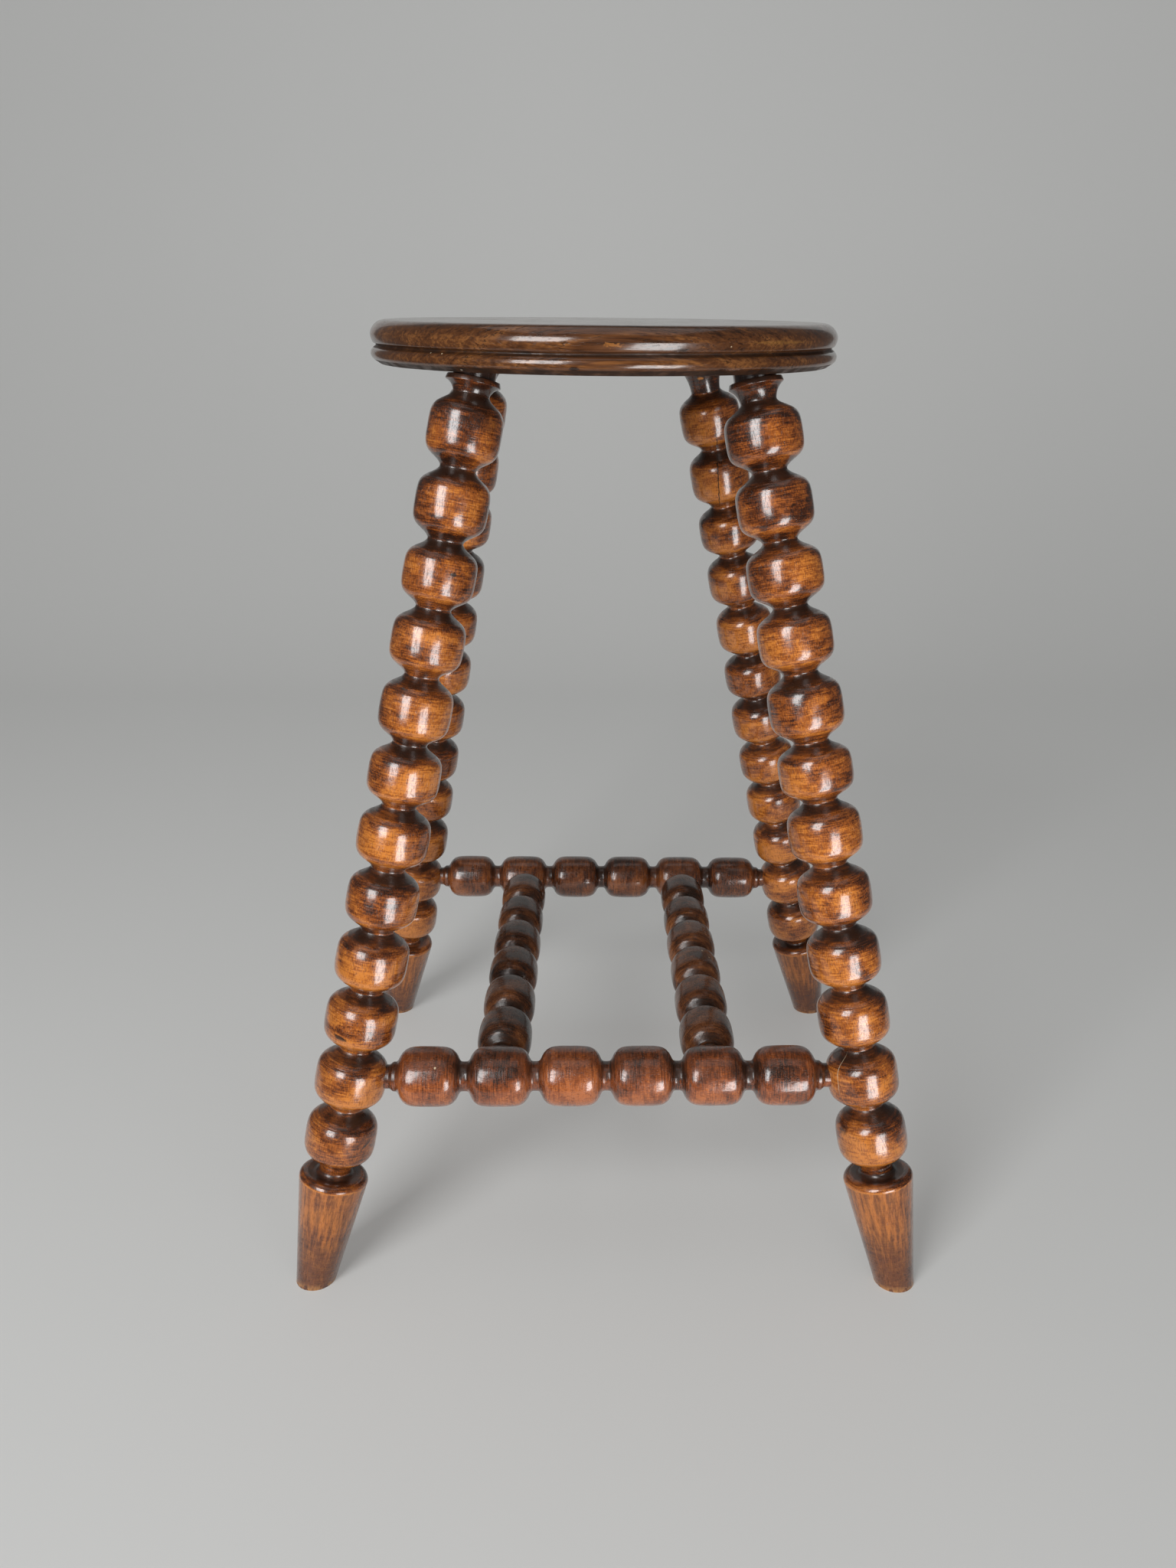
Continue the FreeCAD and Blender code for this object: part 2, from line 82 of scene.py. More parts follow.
@dataclass(frozen=True)
class SetOut:
    """The places that the pieces share, in metres and degrees."""

    seat_height: float = 0.6084
    seat_thickness: float = 0.0262
    tilt_forward: float = 2.1
    tilt_right: float = 0.8
    seat_turn: float = 3.9
    leg_top_half: Point = (0.0807, 0.0966)
    foot_half: Point = (0.195, 0.1813)
    stretcher_height: float = 0.1445
    tenon_clearance: float = 0.0001

    @property
    def underside(self) -> float:
        """Height of the middle of the seat's underside."""
        return self.seat_height - self.seat_thickness

    @property
    def seat_turning(self) -> Array:
        """Matrix that leans the seat to the front and to the right."""
        return turn_about(0, self.tilt_forward) @ turn_about(1, self.tilt_right)

    def leg_ends(self, side: int, depth: int) -> tuple[Array, Array]:
        """Give a leg axis's ends, on the floor and in the plane of the seat's underside.

        Args:
            side: -1 for left, 1 for right.
            depth: -1 for front, 1 for back.

        Returns:
            The foot point and the top point.
        """
        foot = np.array([side * self.foot_half[0], depth * self.foot_half[1], 0.0])
        top = np.array([side * self.leg_top_half[0], depth * self.leg_top_half[1], 0.0])
        top = self.seat_turning @ turn_about(2, self.seat_turn) @ top
        return foot, top + np.array([0.0, 0.0, self.underside])

    def on_leg(self, side: int, depth: int) -> Array:
        """Give the point of a leg's axis at the height of the stretchers."""
        foot, top = self.leg_ends(side, depth)
        return foot + (top - foot) * (self.stretcher_height / top[2])


PLAN = SetOut()


# ---------------------------------------------------------------- half sections


class HalfSection:
    """A half section of a turning, drawn as lines and arcs from one pole to the other."""

    fine_step: ClassVar[float] = 0.00012
    rounding: ClassVar[float] = 0.00028
    bell_reach: ClassVar[float] = 3.0

    def __init__(self, radius: float, height: float) -> None:
        """Start the section at a point."""
        self.runs: list[Array] = [np.array([[radius, height]])]

    @property
    def here(self) -> Array:
        """The last point drawn."""
        return self.runs[-1][-1]

    def lines(self, *ends: Point) -> None:
        """Draw straight edges from point to point."""
        for end in map(np.array, ends):
            count = max(2, int(np.linalg.norm(end - self.here) / self.fine_step))
            share = np.linspace(0.0, 1.0, count + 1)[1:, None]
            self.runs.append(self.here + (end - self.here) * share)

    def follow(self, radii: Array, heights: Array) -> None:
        """Draw through a row of points."""
        self.runs.append(np.stack([radii, heights], axis=1))

    def arc(self, through: Point, to: Point) -> None:
        """Draw the arc of the circle through three points.

        The centre is as far from all three, which is two linear equations, and the angle runs
        from the first point past the second to the third.
        """
        a, b, c = self.here, np.array(through), np.array(to)
        sums = np.array([b @ b - a @ a, c @ c - a @ a]) / 2.0
        centre = np.linalg.solve(np.array([b - a, c - a]), sums)
        start, middle, end = (np.arctan2(*(p - centre)[::-1]) for p in (a, b, c))
        full = 2.0 * np.pi
        sweep = (end - start) % full
        if (middle - start) % full > sweep:
            sweep -= full
        radius = np.linalg.norm(a - centre)
        count = max(4, int(abs(sweep) * radius / self.fine_step))
        angle = start + sweep * np.linspace(0.0, 1.0, count + 1)[1:]
        self.runs.append(centre + radius * np.stack([np.cos(angle), np.sin(angle)], axis=1))

    def worn(self) -> Array:
        """Give the fine outline with its corners rounded.

        The outline is averaged along itself with a bell-shaped weight, which rounds a corner
        over about twice that weight's width and leaves straight and gently curved runs alone.
        """
        points = np.concatenate(self.runs)
        along = np.concatenate([[0.0], np.cumsum(np.linalg.norm(np.diff(points, axis=0), axis=1))])
        even = np.arange(0.0, along[-1], self.fine_step)
        points = np.stack([np.interp(even, along, points[:, k]) for k in range(2)], axis=1)
        reach = int(self.bell_reach * self.rounding / self.fine_step)
        weight = np.exp(-0.5 * (np.arange(-reach, reach + 1) * self.fine_step / self.rounding) ** 2)
        weight /= weight.sum()
        padded = np.pad(points, ((reach, reach), (0, 0)), mode="edge")
        rounded = np.stack(
            [np.convolve(padded[:, k], weight, mode="valid") for k in range(2)], axis=1
        )
        rounded[: 2 * reach] = points[: 2 * reach]
        rounded[-2 * reach :] = points[-2 * reach :]
        return rounded

    def rows(self, step: float, bend: float) -> Array:
        """Thin the outline to the rows of a mesh.

        Args:
            step: the longest distance between rows on a straight run.
            bend: degrees that the outline may turn between rows.

        Returns:
            An (n, 2) array, closer together where the outline bends.
        """
        points = self.worn()
        runs = np.diff(points, axis=0)
        heading = np.unwrap(np.arctan2(runs[:, 1], runs[:, 0]))
        turn = np.abs(np.diff(heading, prepend=heading[0]))
        need = np.linalg.norm(runs, axis=1) / step + turn / np.radians(bend)
        total = np.concatenate([[0.0], np.cumsum(need)])
        wanted = np.linspace(0.0, total[-1], int(np.ceil(total[-1])) + 1)
        return np.stack([np.interp(wanted, total, points[:, k]) for k in range(2)], axis=1)


@dataclass(frozen=True)
class BobbinShape:
    """A bobbin's outline from its middle to a neck.

    Attributes:
        along: shares of half the pitch, from 0 at the middle to 1 at the neck.
        fullness: how full the bobbin is there, from 1 at its widest to 0 at the neck.
        softness: width of the bell-shaped weight that smooths the outline, in the same shares.
    """

    along: tuple[float, ...]
    fullness: tuple[float, ...]
    softness: float = 0.038
    margin: ClassVar[float] = 0.4
    samples: ClassVar[int] = 281

    def full_at(self, share: Array) -> Array:
        """Give the fullness at shares, from the outline mirrored at both ends and averaged."""
        fine = np.linspace(-self.margin, 1.0 + self.margin, 721)
        values = np.interp(1.0 - np.abs(1.0 - np.abs(fine)), self.along, self.fullness)
        weight = np.exp(-0.5 * ((fine[:, None] - fine[None, :]) / self.softness) ** 2)
        smooth = weight @ values / weight.sum(axis=1)
        least, most = np.interp([1.0, 0.0], fine, smooth)
        return (np.interp(share, fine, smooth) - least) / (most - least)

    def draw(
        self, section: HalfSection, radius: float, neck: float, low: float, high: float
    ) -> None:
        """Draw one bobbin from the neck below it to the neck above it.

        Args:
            section: what to draw on.
            radius: its widest radius.
            neck: the radius of both necks.
            low: the height of the neck below.
            high: the height of the neck above.
        """
        share = np.linspace(-1.0, 1.0, self.samples)[1:]
        height = low + (high - low) * (share + 1.0) / 2.0
        section.follow(neck + (radius - neck) * self.full_at(np.abs(share)), height)


LEG_BOBBIN = BobbinShape(
    along=(0.0, 0.20, 0.35, 0.45, 0.55, 0.65, 0.74, 0.82, 0.89, 0.95, 1.0),
    fullness=(1.0, 1.0, 0.981, 0.954, 0.886, 0.758, 0.547, 0.305, 0.143, 0.048, 0.0),
)
RAIL_BOBBIN = BobbinShape(
    along=(0.0, 0.20, 0.35, 0.45, 0.55, 0.63, 0.70, 0.77, 0.81, 0.85, 0.89, 0.94, 1.0),
    fullness=(1.0, 1.0, 0.984, 0.965, 0.918, 0.84, 0.725, 0.545, 0.375, 0.15, 0.02, 0.0, 0.0),
    softness=0.022,
)


# ---------------------------------------------------------------- shader nodes


Socket = bpy.types.NodeSocket
Feed = float | Sequence[float] | Socket
Weights = dict[str, float]
ORIGIN: Triple = (0.0, 0.0, 0.0)
# Where noise starts and ends when it is spread over 0 to 1
NOISE_SPAN: Point = (0.34, 0.66)


class NodeDesk:
    """A node tree with short ways to add nodes and join them."""

    def __init__(self, tree: bpy.types.NodeTree) -> None:
        """Work on a tree."""
        self.tree = tree

    def add(
        self, kind: str, feeds: dict[str | int, Feed] | None = None, **settings: object
    ) -> bpy.types.Node:
        """Add a node, set its properties and feed its inputs."""
        node = self.tree.nodes.new(kind)
        for name, value in settings.items():
            setattr(node, name, value)
        for name, value in (feeds or {}).items():
            self.feed(node.inputs[name], value)
        return node

    def feed(self, socket: Socket, value: Feed) -> None:
        """Join another node's output to a socket, or set the socket itself."""
        if isinstance(value, Socket):
            self.tree.links.new(value, socket)
        elif isinstance(value, (int, float)):
            socket.default_value = float(value)
        else:
            opaque = (1.0,) if socket.type == "RGBA" and len(value) == 3 else ()
            socket.default_value = (*value, *opaque)

    def math(self, operation: str, first: Feed, second: Feed) -> Socket:
        """Work out one sum."""
        return self.add("ShaderNodeMath", {0: first, 1: second}, operation=operation).outputs[0]

    def vector(self, operation: str, first: Feed, second: Feed = ORIGIN) -> Socket:
        """Work out one sum of vectors, or a vector's length."""
        node = self.add("ShaderNodeVectorMath", {0: first, 1: second}, operation=operation)
        return node.outputs["Value" if operation == "LENGTH" else "Vector"]

    def times(self, *values: Feed) -> Socket:
        """Multiply several values together."""
        return reduce(lambda total, value: self.math("MULTIPLY", total, value), values)

    def plus(self, *values: Feed) -> Socket:
        """Add several values together."""
        return reduce(lambda total, value: self.math("ADD", total, value), values)

    def weigh(self, weights: Weights, **values: Feed) -> Socket:
        """Add up named values, each times its weight."""
        return self.plus(*(self.times(values[name], weight) for name, weight in weights.items()))

    def most(self, *values: Feed) -> Socket:
        """Give the greatest of several values."""
        return reduce(lambda total, value: self.math("MAXIMUM", total, value), values)

    def rest(self, value: Feed) -> Socket:
        """Give what a share leaves of 1."""
        return self.math("SUBTRACT", 1.0, value)

    def rise(
        self, value: Feed, low: Feed, high: Feed, start: Feed = 0.0, end: Feed = 1.0
    ) -> Socket:
        """Go smoothly from start to end as a value goes from low to high."""
        feeds = {"Value": value, "From Min": low, "From Max": high, "To Min": start, "To Max": end}
        node = self.add("ShaderNodeMapRange", feeds, interpolation_type="SMOOTHSTEP")
        return node.outputs["Result"]

    def blend(self, share: Feed, first: Feed, second: Feed) -> Socket:
        """Mix two colours."""
        node = self.add("ShaderNodeMix", data_type="RGBA")
        self.feed(node.inputs["Factor"], share)
        for socket, value in zip([s for s in node.inputs if s.type == "RGBA"], (first, second)):
            self.feed(socket, value)
        return next(s for s in node.outputs if s.type == "RGBA")

    def cover(self, colour: Feed, layers: Iterable[tuple[Feed, Feed]]) -> Socket:
        """Lay colours over one another, each as far as its mask says."""
        for mask, tint in layers:
            colour = self.blend(mask, colour, tint)
        return colour

    def ramp(self, value: Feed, stops: Sequence[tuple[float, Triple]]) -> Socket:
        """Go smoothly through colours as a value passes their places."""
        masks = (self.rise(value, low, high) for (low, _), (high, _) in zip(stops, stops[1:]))
        return self.cover(stops[0][1], zip(masks, (colour for _, colour in stops[1:])))

    def noise(
        self,
        vector: Feed,
        scale: Feed,
        detail: float = 2.0,
        rough: float = 0.5,
        twist: float = 0.0,
        output: str = "Fac",
    ) -> Socket:
        """Sample noise, which is mostly between 0.3 and 0.7.

        Args:
            vector: the position.
            scale: one scale, or a tuple with one for each axis.
            detail: how many finer octaves are added.
            rough: how strong those are.
            twist: how far the noise is distorted.
            output: Fac for a value, Color for three of them.

        Returns:
            The node's output.
        """
        if isinstance(scale, tuple):
            vector, scale = self.stretch(vector, scale), 1.0
        feeds = {"Vector": vector, "Scale": scale, "Detail": detail, "Roughness": rough}
        return self.add("ShaderNodeTexNoise", {**feeds, "Distortion": twist}).outputs[output]

    def stretch(self, vector: Feed, scale: Feed, shift: Feed = ORIGIN) -> Socket:
        """Scale a position on each axis and shift it."""
        node = self.add("ShaderNodeMapping", {"Vector": vector, "Scale": scale, "Location": shift})
        return node.outputs[0]

    def parts(self, vector: Feed) -> tuple[Socket, Socket, Socket]:
        """Split a vector."""
        return tuple(self.add("ShaderNodeSeparateXYZ", {0: vector}).outputs)

    def read(self, name: str) -> Socket:
        """Read a vector that the mesh carries."""
        return self.add("ShaderNodeAttribute", attribute_name=name).outputs["Vector"]


@dataclass(frozen=True)
class Effect:
    """An effect that several finishes share: a node group, built when it is first used.

    Attributes:
        name: the group's name.
        fill: the function that adds its nodes and gives its results.
        feeds: its inputs besides Place, with what they are when nothing feeds them.
        gives: its outputs.
    """

    name: str
    fill: Callable[[NodeDesk, dict[str, Socket]], dict[str, Socket]]
    feeds: dict[str, Feed]
    gives: Sequence[str] = ("Mask",)

    def tree(self) -> bpy.types.NodeTree:
        """Give the node group."""
        found = bpy.data.node_groups.get(self.name)
        if found is not None:
            return found
        tree = bpy.data.node_groups.new(self.name, "ShaderNodeTree")
        feeds = {"Place": ORIGIN, **self.feeds}
        for name, value in feeds.items():
            kind = "NodeSocketFloat" if isinstance(value, float) else "NodeSocketVector"
            socket = tree.interface.new_socket(name=name, in_out="INPUT", socket_type=kind)
            socket.default_value = value
        for name in self.gives:
            tree.interface.new_socket(name=name, in_out="OUTPUT", socket_type="NodeSocketFloat")
        desk = NodeDesk(tree)
        given = desk.add("NodeGroupInput").outputs
        desk.add("NodeGroupOutput", self.fill(desk, {name: given[name] for name in feeds}))
        return tree

    def use(self, desk: NodeDesk, place: Socket, **feeds: Feed) -> Socket | bpy.types.NodeOutputs:
        """Place the group in a material and give its output, or all if it has several."""
        node = desk.add("ShaderNodeGroup", {"Place": place, **feeds}, node_tree=self.tree())
        return node.outputs[0] if len(self.gives) == 1 else node.outputs


@dataclass(frozen=True)
class NoiseLayer:
    """Noise of one size, by its scale on each axis, that is added to the figure by a weight."""

    scale: Triple
    detail: float = 2.0
    rough: float = 0.5
    twist: float = 0.0
    span: Point = NOISE_SPAN
    weight: float = 0.22

    def sample(self, desk: NodeDesk, place: Socket) -> Socket:
        """Sample the noise."""
        return desk.noise(place, self.scale, self.detail, self.rough, self.twist)

    def add_to(self, desk: NodeDesk, noise: Socket) -> Socket:
        """Give what sampled noise adds."""
        return desk.rise(noise, *self.span, 0.0, self.weight)


CLOUD_LAYER = NoiseLayer((24.0, 24.0, 30.0), 2.0, 0.5, 0.8, (0.36, 0.62), 0.42)
PATCH_LAYER = NoiseLayer((95.0, 95.0, 170.0), 3.0, 0.6, 1.2)
WAVY_LAYER = NoiseLayer((60.0, 60.0, 620.0), 3.0, 0.6, 0.8, weight=0.20)
RING_LAYER = NoiseLayer((110.0, 110.0, 1500.0), 2.0, 0.55, weight=1.0)
DOT_LAYER = NoiseLayer((1500.0, 1500.0, 520.0))
FIGURE_OFFSET = -0.10


def fill_figure(desk: NodeDesk, given: dict[str, Socket]) -> dict[str, Socket]:
    """Uneven stain on turned wood, as a level from 0 dark to 1 light.

    Wide clouds, patches of a few millimetres, wavy and fine rings round the axis and small dots
    are added up, each a noise scaled by the size it has round and along the axis.
    """
    place = desk.vector("ADD", given["Place"], given["Shift"])
    rings, dots = RING_LAYER.sample(desk, place), DOT_LAYER.sample(desk, place)
    wide = (CLOUD_LAYER, PATCH_LAYER, WAVY_LAYER)
    level = desk.plus(
        *(layer.add_to(desk, layer.sample(desk, place)) for layer in wide),
        desk.times(RING_LAYER.add_to(desk, rings), given["Rings"]),
        DOT_LAYER.add_to(desk, dots),
        FIGURE_OFFSET,
    )
    return {"Level": level, "Ridges": rings, "Dots": dots}


def fill_pores(desk: NodeDesk, given: dict[str, Socket]) -> dict[str, Socket]:
    """Short dark dashes along the grain: noise that is much longer along than across."""
    soft_edge = 0.06
    noise = desk.noise(desk.vector("MULTIPLY", given["Place"], given["Scale"]), 1.0, 1.0, 0.4)
    low = desk.math("SUBTRACT", given["Level"], soft_edge)
    return {"Mask": desk.rise(noise, low, given["Level"], 1.0, 0.0)}


def fill_grime_and_shade(desk: NodeDesk, given: dict[str, Socket]) -> dict[str, Socket]:
    """Old wax and dust in patches, and painted shade in hollows.

    It lies in a sharp ring where a shoulder that faces up meets its neck, in the bottom of the
    necks and on what faces up. In the bottom of a hollow, such as a neck or the seat's groove and
    chamfer, its dark colour is painted shade.
    """
    hollow, up, _ = desk.parts(given["State"])
    ring = desk.times(desk.rise(hollow, 0.36, 0.50), desk.rise(up, 0.05, 0.40, 0.0, 0.9))
    neck = desk.times(desk.rise(hollow, 0.85, 1.0), given["Neck"])
    ledge = desk.times(desk.rise(up, 0.25, 0.85), given["Ledge"])
    patches = desk.rise(desk.noise(given["Place"], 140.0, 3.0, 0.6), 0.25, 0.6, 0.45, 1.0)
    return {"Mask": desk.times(desk.most(ring, neck, ledge), patches)}


def fill_mark(desk: NodeDesk, given: dict[str, Socket]) -> dict[str, Socket]:
    """One spot, such as a knot: an oval on the surface with a ragged edge."""
    around_zero = desk.vector(
        "SUBTRACT", desk.noise(given["Place"], 420.0, output="Color"), (0.5, 0.5, 0.5)
    )
    pull = desk.vector("MULTIPLY", around_zero, given["Ragged"])
    feeds = {"Vector": desk.vector("ADD", given["Place"], pull), "Location": given["Centre"]}
    feeds |= {"Rotation": given["Turn"], "Scale": given["Size"]}
    local = desk.add("ShaderNodeMapping", feeds, vector_type="TEXTURE").outputs[0]
    return {"Mask": desk.rise(desk.vector("LENGTH", local), 0.55, 1.0, 1.0, 0.0)}


def fill_specks(desk: NodeDesk, given: dict[str, Socket]) -> dict[str, Socket]:
    """Scattered round specks: the near parts of a few cells of a Voronoi pattern."""
    cells = desk.add("ShaderNodeTexVoronoi", {"Vector": given["Place"], "Scale": given["Scale"]})
    chosen = desk.math("GREATER_THAN", desk.parts(cells.outputs["Color"])[0], given["Rarity"])
    near = desk.rise(cells.outputs["Distance"], 0.06, 0.14, 1.0, 0.0)
    return {"Mask": desk.times(chosen, near)}


FIGURE = Effect(
    "wood figure", fill_figure, {"Shift": ORIGIN, "Rings": 0.26}, ("Level", "Ridges", "Dots")
)
PORES = Effect("long pores", fill_pores, {"Scale": (900.0, 900.0, 75.0), "Level": 0.4})
GRIME_AND_SHADE = Effect("grime_and_shade", fill_grime_and_shade, {"State": ORIGIN, "Ledge": 0.6, "Neck": 0.45})
MARK = Effect(
    "mark", fill_mark, {"Centre": ORIGIN, "Turn": ORIGIN, "Size": (1.0, 1.0, 1.0), "Ragged": 0.001}
)
SPECKS = Effect("specks", fill_specks, {"Scale": 300.0, "Rarity": 0.9})


# ---------------------------------------------------------------- finishes


class Tint(Enum):
    """Colours of small marks."""

    BLACK = (0.012, 0.006, 0.004)
    CREAM = (0.62, 0.50, 0.33)
    GOLD = (0.36, 0.17, 0.035)
    ORANGE = (0.52, 0.20, 0.040)
    RED = (0.26, 0.030, 0.014)


@dataclass(frozen=True)
class Blemish:
    """A knot, crack, scratch, chip or speck at a place on a turning.

    Attributes:
        bearing: degrees round the axis, from the side that the piece's frame faces.
        height: how far along the axis.
        width: half its size round the axis.
        tall: half its size along the axis.
        tint: its colour.
        strength: how far it covers the finish.
        slant: degrees by which it leans.
        ragged: how uneven its edge is.
        radius: how far it is from the axis.
    """

    bearing: float
    height: float
    width: float
    tall: float
    tint: Tint = Tint.BLACK
    strength: float = 0.9
    slant: float = 0.0
    ragged: float = 0.0015
    radius: float = 0.0222
    depth: ClassVar[float] = 0.02

    def mask(self, desk: NodeDesk, place: Socket) -> Socket:
        """Give where it covers the finish, from 0 to its strength."""
        angle = np.radians(self.bearing)
        mask = MARK.use(
            desk,
            place,
            Centre=(self.radius * np.cos(angle), self.radius * np.sin(angle), self.height),
            Turn=(np.radians(self.slant), 0.0, angle),
            Size=(self.depth, self.width, self.tall),
            Ragged=self.ragged,
        )
        return desk.times(mask, self.strength)


@dataclass(frozen=True)
class Coating:
    """What a finish gives the shader: its colour, roughness, bump height and coat."""

    colour: Socket
    rough: Socket
    height: Socket
    coat: Socket


@dataclass(frozen=True)
class Finish:
    """Varnished wood.

    Attributes:
        name: the material's name.
        gloss: roughness where it is cleanest.
        coat: weight of the varnish.
        specular: specular level of the stained wood.
        coat_roughness: roughness of the varnish.
        relief: height of the bumps, in metres.
        blemishes: marks on it.
    """

    name: str
    gloss: float = 0.21
    coat: float = 0.85
    specular: float = 0.48
    coat_roughness: float = 0.12
    relief: float = 0.00010
    blemishes: tuple[Blemish, ...] = ()

    def draw(self, desk: NodeDesk, place: Socket, state: Socket, form: Socket) -> Coating:
        """Draw the finish from the vectors that the mesh carries."""
        raise NotImplementedError

    def marks(self, desk: NodeDesk, place: Socket) -> list[tuple[Socket, Triple]]:
        """Give each blemish's mask and colour."""
        return [(mark.mask(desk, place), mark.tint.value) for mark in self.blemishes]

    def build(self) -> bpy.types.Material:
        """Make the material."""
        material = bpy.data.materials.new(self.name)
        material.use_nodes = True
        desk = NodeDesk(material.node_tree)
        desk.tree.nodes.clear()
        drawn = self.draw(desk, *(desk.read(name) for name in ("place", "state", "form")))
        bump = desk.add(
            "ShaderNodeBump", {"Height": drawn.height, "Distance": self.relief, "Strength": 1.0}
        )
        shader = desk.add(
            "ShaderNodeBsdfPrincipled",
            {
                "Base Color": drawn.colour,
                "Roughness": drawn.rough,
                "Normal": bump.outputs[0],
                "Specular IOR Level": self.specular,
                "Coat Weight": drawn.coat,
                "Coat Roughness": self.coat_roughness,
            },
        )
        desk.add("ShaderNodeOutputMaterial", {"Surface": shader.outputs[0]})
        return material


@dataclass(frozen=True)
class TurnedFinish(Finish):
    """Stained and varnished wood on a turning whose grain runs along its axis.

    The stain goes from black-brown to amber with the wood's figure. It is darker towards the
    hollows as painted shade, darker on shoulders that face up and low on the feet, lighter under
    the bobbins as painted light from below, and lighter on edges as wear and a painted highlight.
    A fine line is scribed round the upper shoulder of each bobbin.
    """

    black: Triple = (0.022, 0.007, 0.003)
    dark: Triple = (0.090, 0.022, 0.005)
    middle: Triple = (0.265, 0.072, 0.012)
    light: Triple = (0.510, 0.172, 0.028)
    # Colour of dirt, and of painted shade in the bottom of the necks
    grime_and_shade: Triple = (0.028, 0.013, 0.007)
    foot_dark: Triple = (0.080, 0.021, 0.006)
    foot_light: Triple = (0.410, 0.128, 0.022)
    raw_dark: Triple = (0.400, 0.170, 0.050)
    raw_light: Triple = (0.560, 0.290, 0.110)
    shift: Triple = ORIGIN
    rings: float = 0.26
    offset: float = 0.02
    # How much darker the stain gets towards the necks: painted shade
    shoulder: float = 0.22
    ledge: float = 0.22
    neck: float = 0.15
    pore_scale: ClassVar[Triple] = (1350.0, 1350.0, 260.0)
    fibre_scale: ClassVar[Triple] = (430.0, 430.0, 24.0)
    stops: ClassVar[tuple[float, ...]] = (0.02, 0.28, 0.58, 0.92)
    # edge lightens as wear and as a painted highlight; under is painted light from below
    lighter: ClassVar[Weights] = {"tone": 0.26, "edge": 0.45, "under": 0.10}
    darker: ClassVar[Weights] = {"ledge": -0.24, "low_foot": -0.25}
    bumps: ClassVar[Weights] = {
        "ridges": 1.05, "dots": 0.60, "pores": -0.60, "ripple": 1.6, "scribe": -0.9,
    }
    cover: ClassVar[Weights] = {
        "foot": 0.75, "pores": 0.32, "scribe": 0.45, "grime_and_shade": 0.60, "specks": 0.35,
    }

    def level(
        self, desk: NodeDesk, figure: Socket, low_foot: Socket, state: Socket, edge: Socket
    ) -> Socket:
        """Give how light the stain is, from the figure and from where the place is, partly as
        painted shade and light.
        """
        hollow, up, tone = desk.parts(state)
        # Painted light from below, on what faces down beside the bobbins' fullest parts
        under = desk.times(desk.rise(up, -0.10, -0.65), desk.rise(hollow, 0.9, 0.3))
        ledge = desk.rise(up, 0.12, 0.60)
        return desk.plus(
            figure,
            desk.weigh(self.lighter, tone=tone, edge=edge, under=under),
            desk.weigh(self.darker, ledge=ledge, low_foot=low_foot),
            # Painted shade: darker towards the necks
            desk.rise(hollow, 0.25, 0.85, 0.0, -self.shoulder),
            self.offset,
        )

    def draw(self, desk: NodeDesk, place: Socket, state: Socket, form: Socket) -> Coating:
        """Lay stain, pores, scribed lines, dirt and painted shade, specks, marks and bare wood on
        one another.
        """
        up = desk.parts(state)[1]
        share, bare, edge = desk.parts(form)
        figure = FIGURE.use(desk, place, Shift=self.shift, Rings=self.rings)
        pores = PORES.use(desk, place, Scale=self.pore_scale, Level=0.41)
        # Dirt in patches, and painted shade in the bottom of the necks
        grime_and_shade = GRIME_AND_SHADE.use(desk, place, State=state, Ledge=self.ledge, Neck=self.neck)
        specks = SPECKS.use(desk, place, Scale=210.0, Rarity=0.965)
        fibres = desk.noise(place, self.fibre_scale, 3.0, 0.6)
        low_foot = desk.rise(share, -0.30, -0.85)
        scribe = desk.times(
            desk.rise(share, 0.585, 0.605),
            desk.rise(share, 0.605, 0.635, 1.0, 0.0),
            desk.rise(up, 0.1, 0.4),
        )
        chipped = desk.rise(desk.noise(place, 260.0, 3.0, 0.6), 0.42, 0.55)
        chipped = desk.most(desk.rise(bare, 0.75, 1.0), desk.times(bare, chipped))

        level = self.level(desk, figure["Level"], low_foot, state, edge)
        tints = (self.black, self.dark, self.middle, self.light)
        stain = desk.ramp(level, list(zip(self.stops, tints)))
        wood = desk.plus(desk.rise(fibres, 0.32, 0.68), desk.times(low_foot, -0.75))
        foot = desk.blend(desk.rise(wood, -0.2, 1.0), self.foot_dark, self.foot_light)
        raw = desk.blend(desk.rise(fibres, 0.3, 0.7), self.raw_dark, self.raw_light)
        layers = [
            (desk.rise(share, 0.0, -0.02, 0.0, self.cover["foot"]), foot),
            (desk.times(pores, self.cover["pores"]), self.black),
            (desk.times(scribe, self.cover["scribe"]), self.dark),
            (desk.times(grime_and_shade, self.cover["grime_and_shade"]), self.grime_and_shade),
            (desk.times(specks, self.cover["specks"]), self.light),
            *self.marks(desk, place),
            (chipped, raw),
        ]
        height = desk.weigh(
            self.bumps,
            ridges=figure["Ridges"],
            dots=figure["Dots"],
            pores=pores,
            ripple=desk.noise(place, 130.0),
            scribe=scribe,
        )
        dull = desk.rise(desk.noise(place, 70.0, 3.0, 0.55), 0.35, 0.75, 0.0, 0.09)
        rough = desk.plus(self.gloss, dull, desk.times(grime_and_shade, 0.12), desk.times(chipped, 0.40))
        coat = desk.times(
            desk.rise(grime_and_shade, 0.0, 1.0, 1.0, 0.35),
            desk.rest(chipped),
            desk.rise(pores, 0.0, 1.0, 1.0, 0.4),
            self.coat,
        )
        return Coating(desk.cover(stain, layers), rough, height, coat)


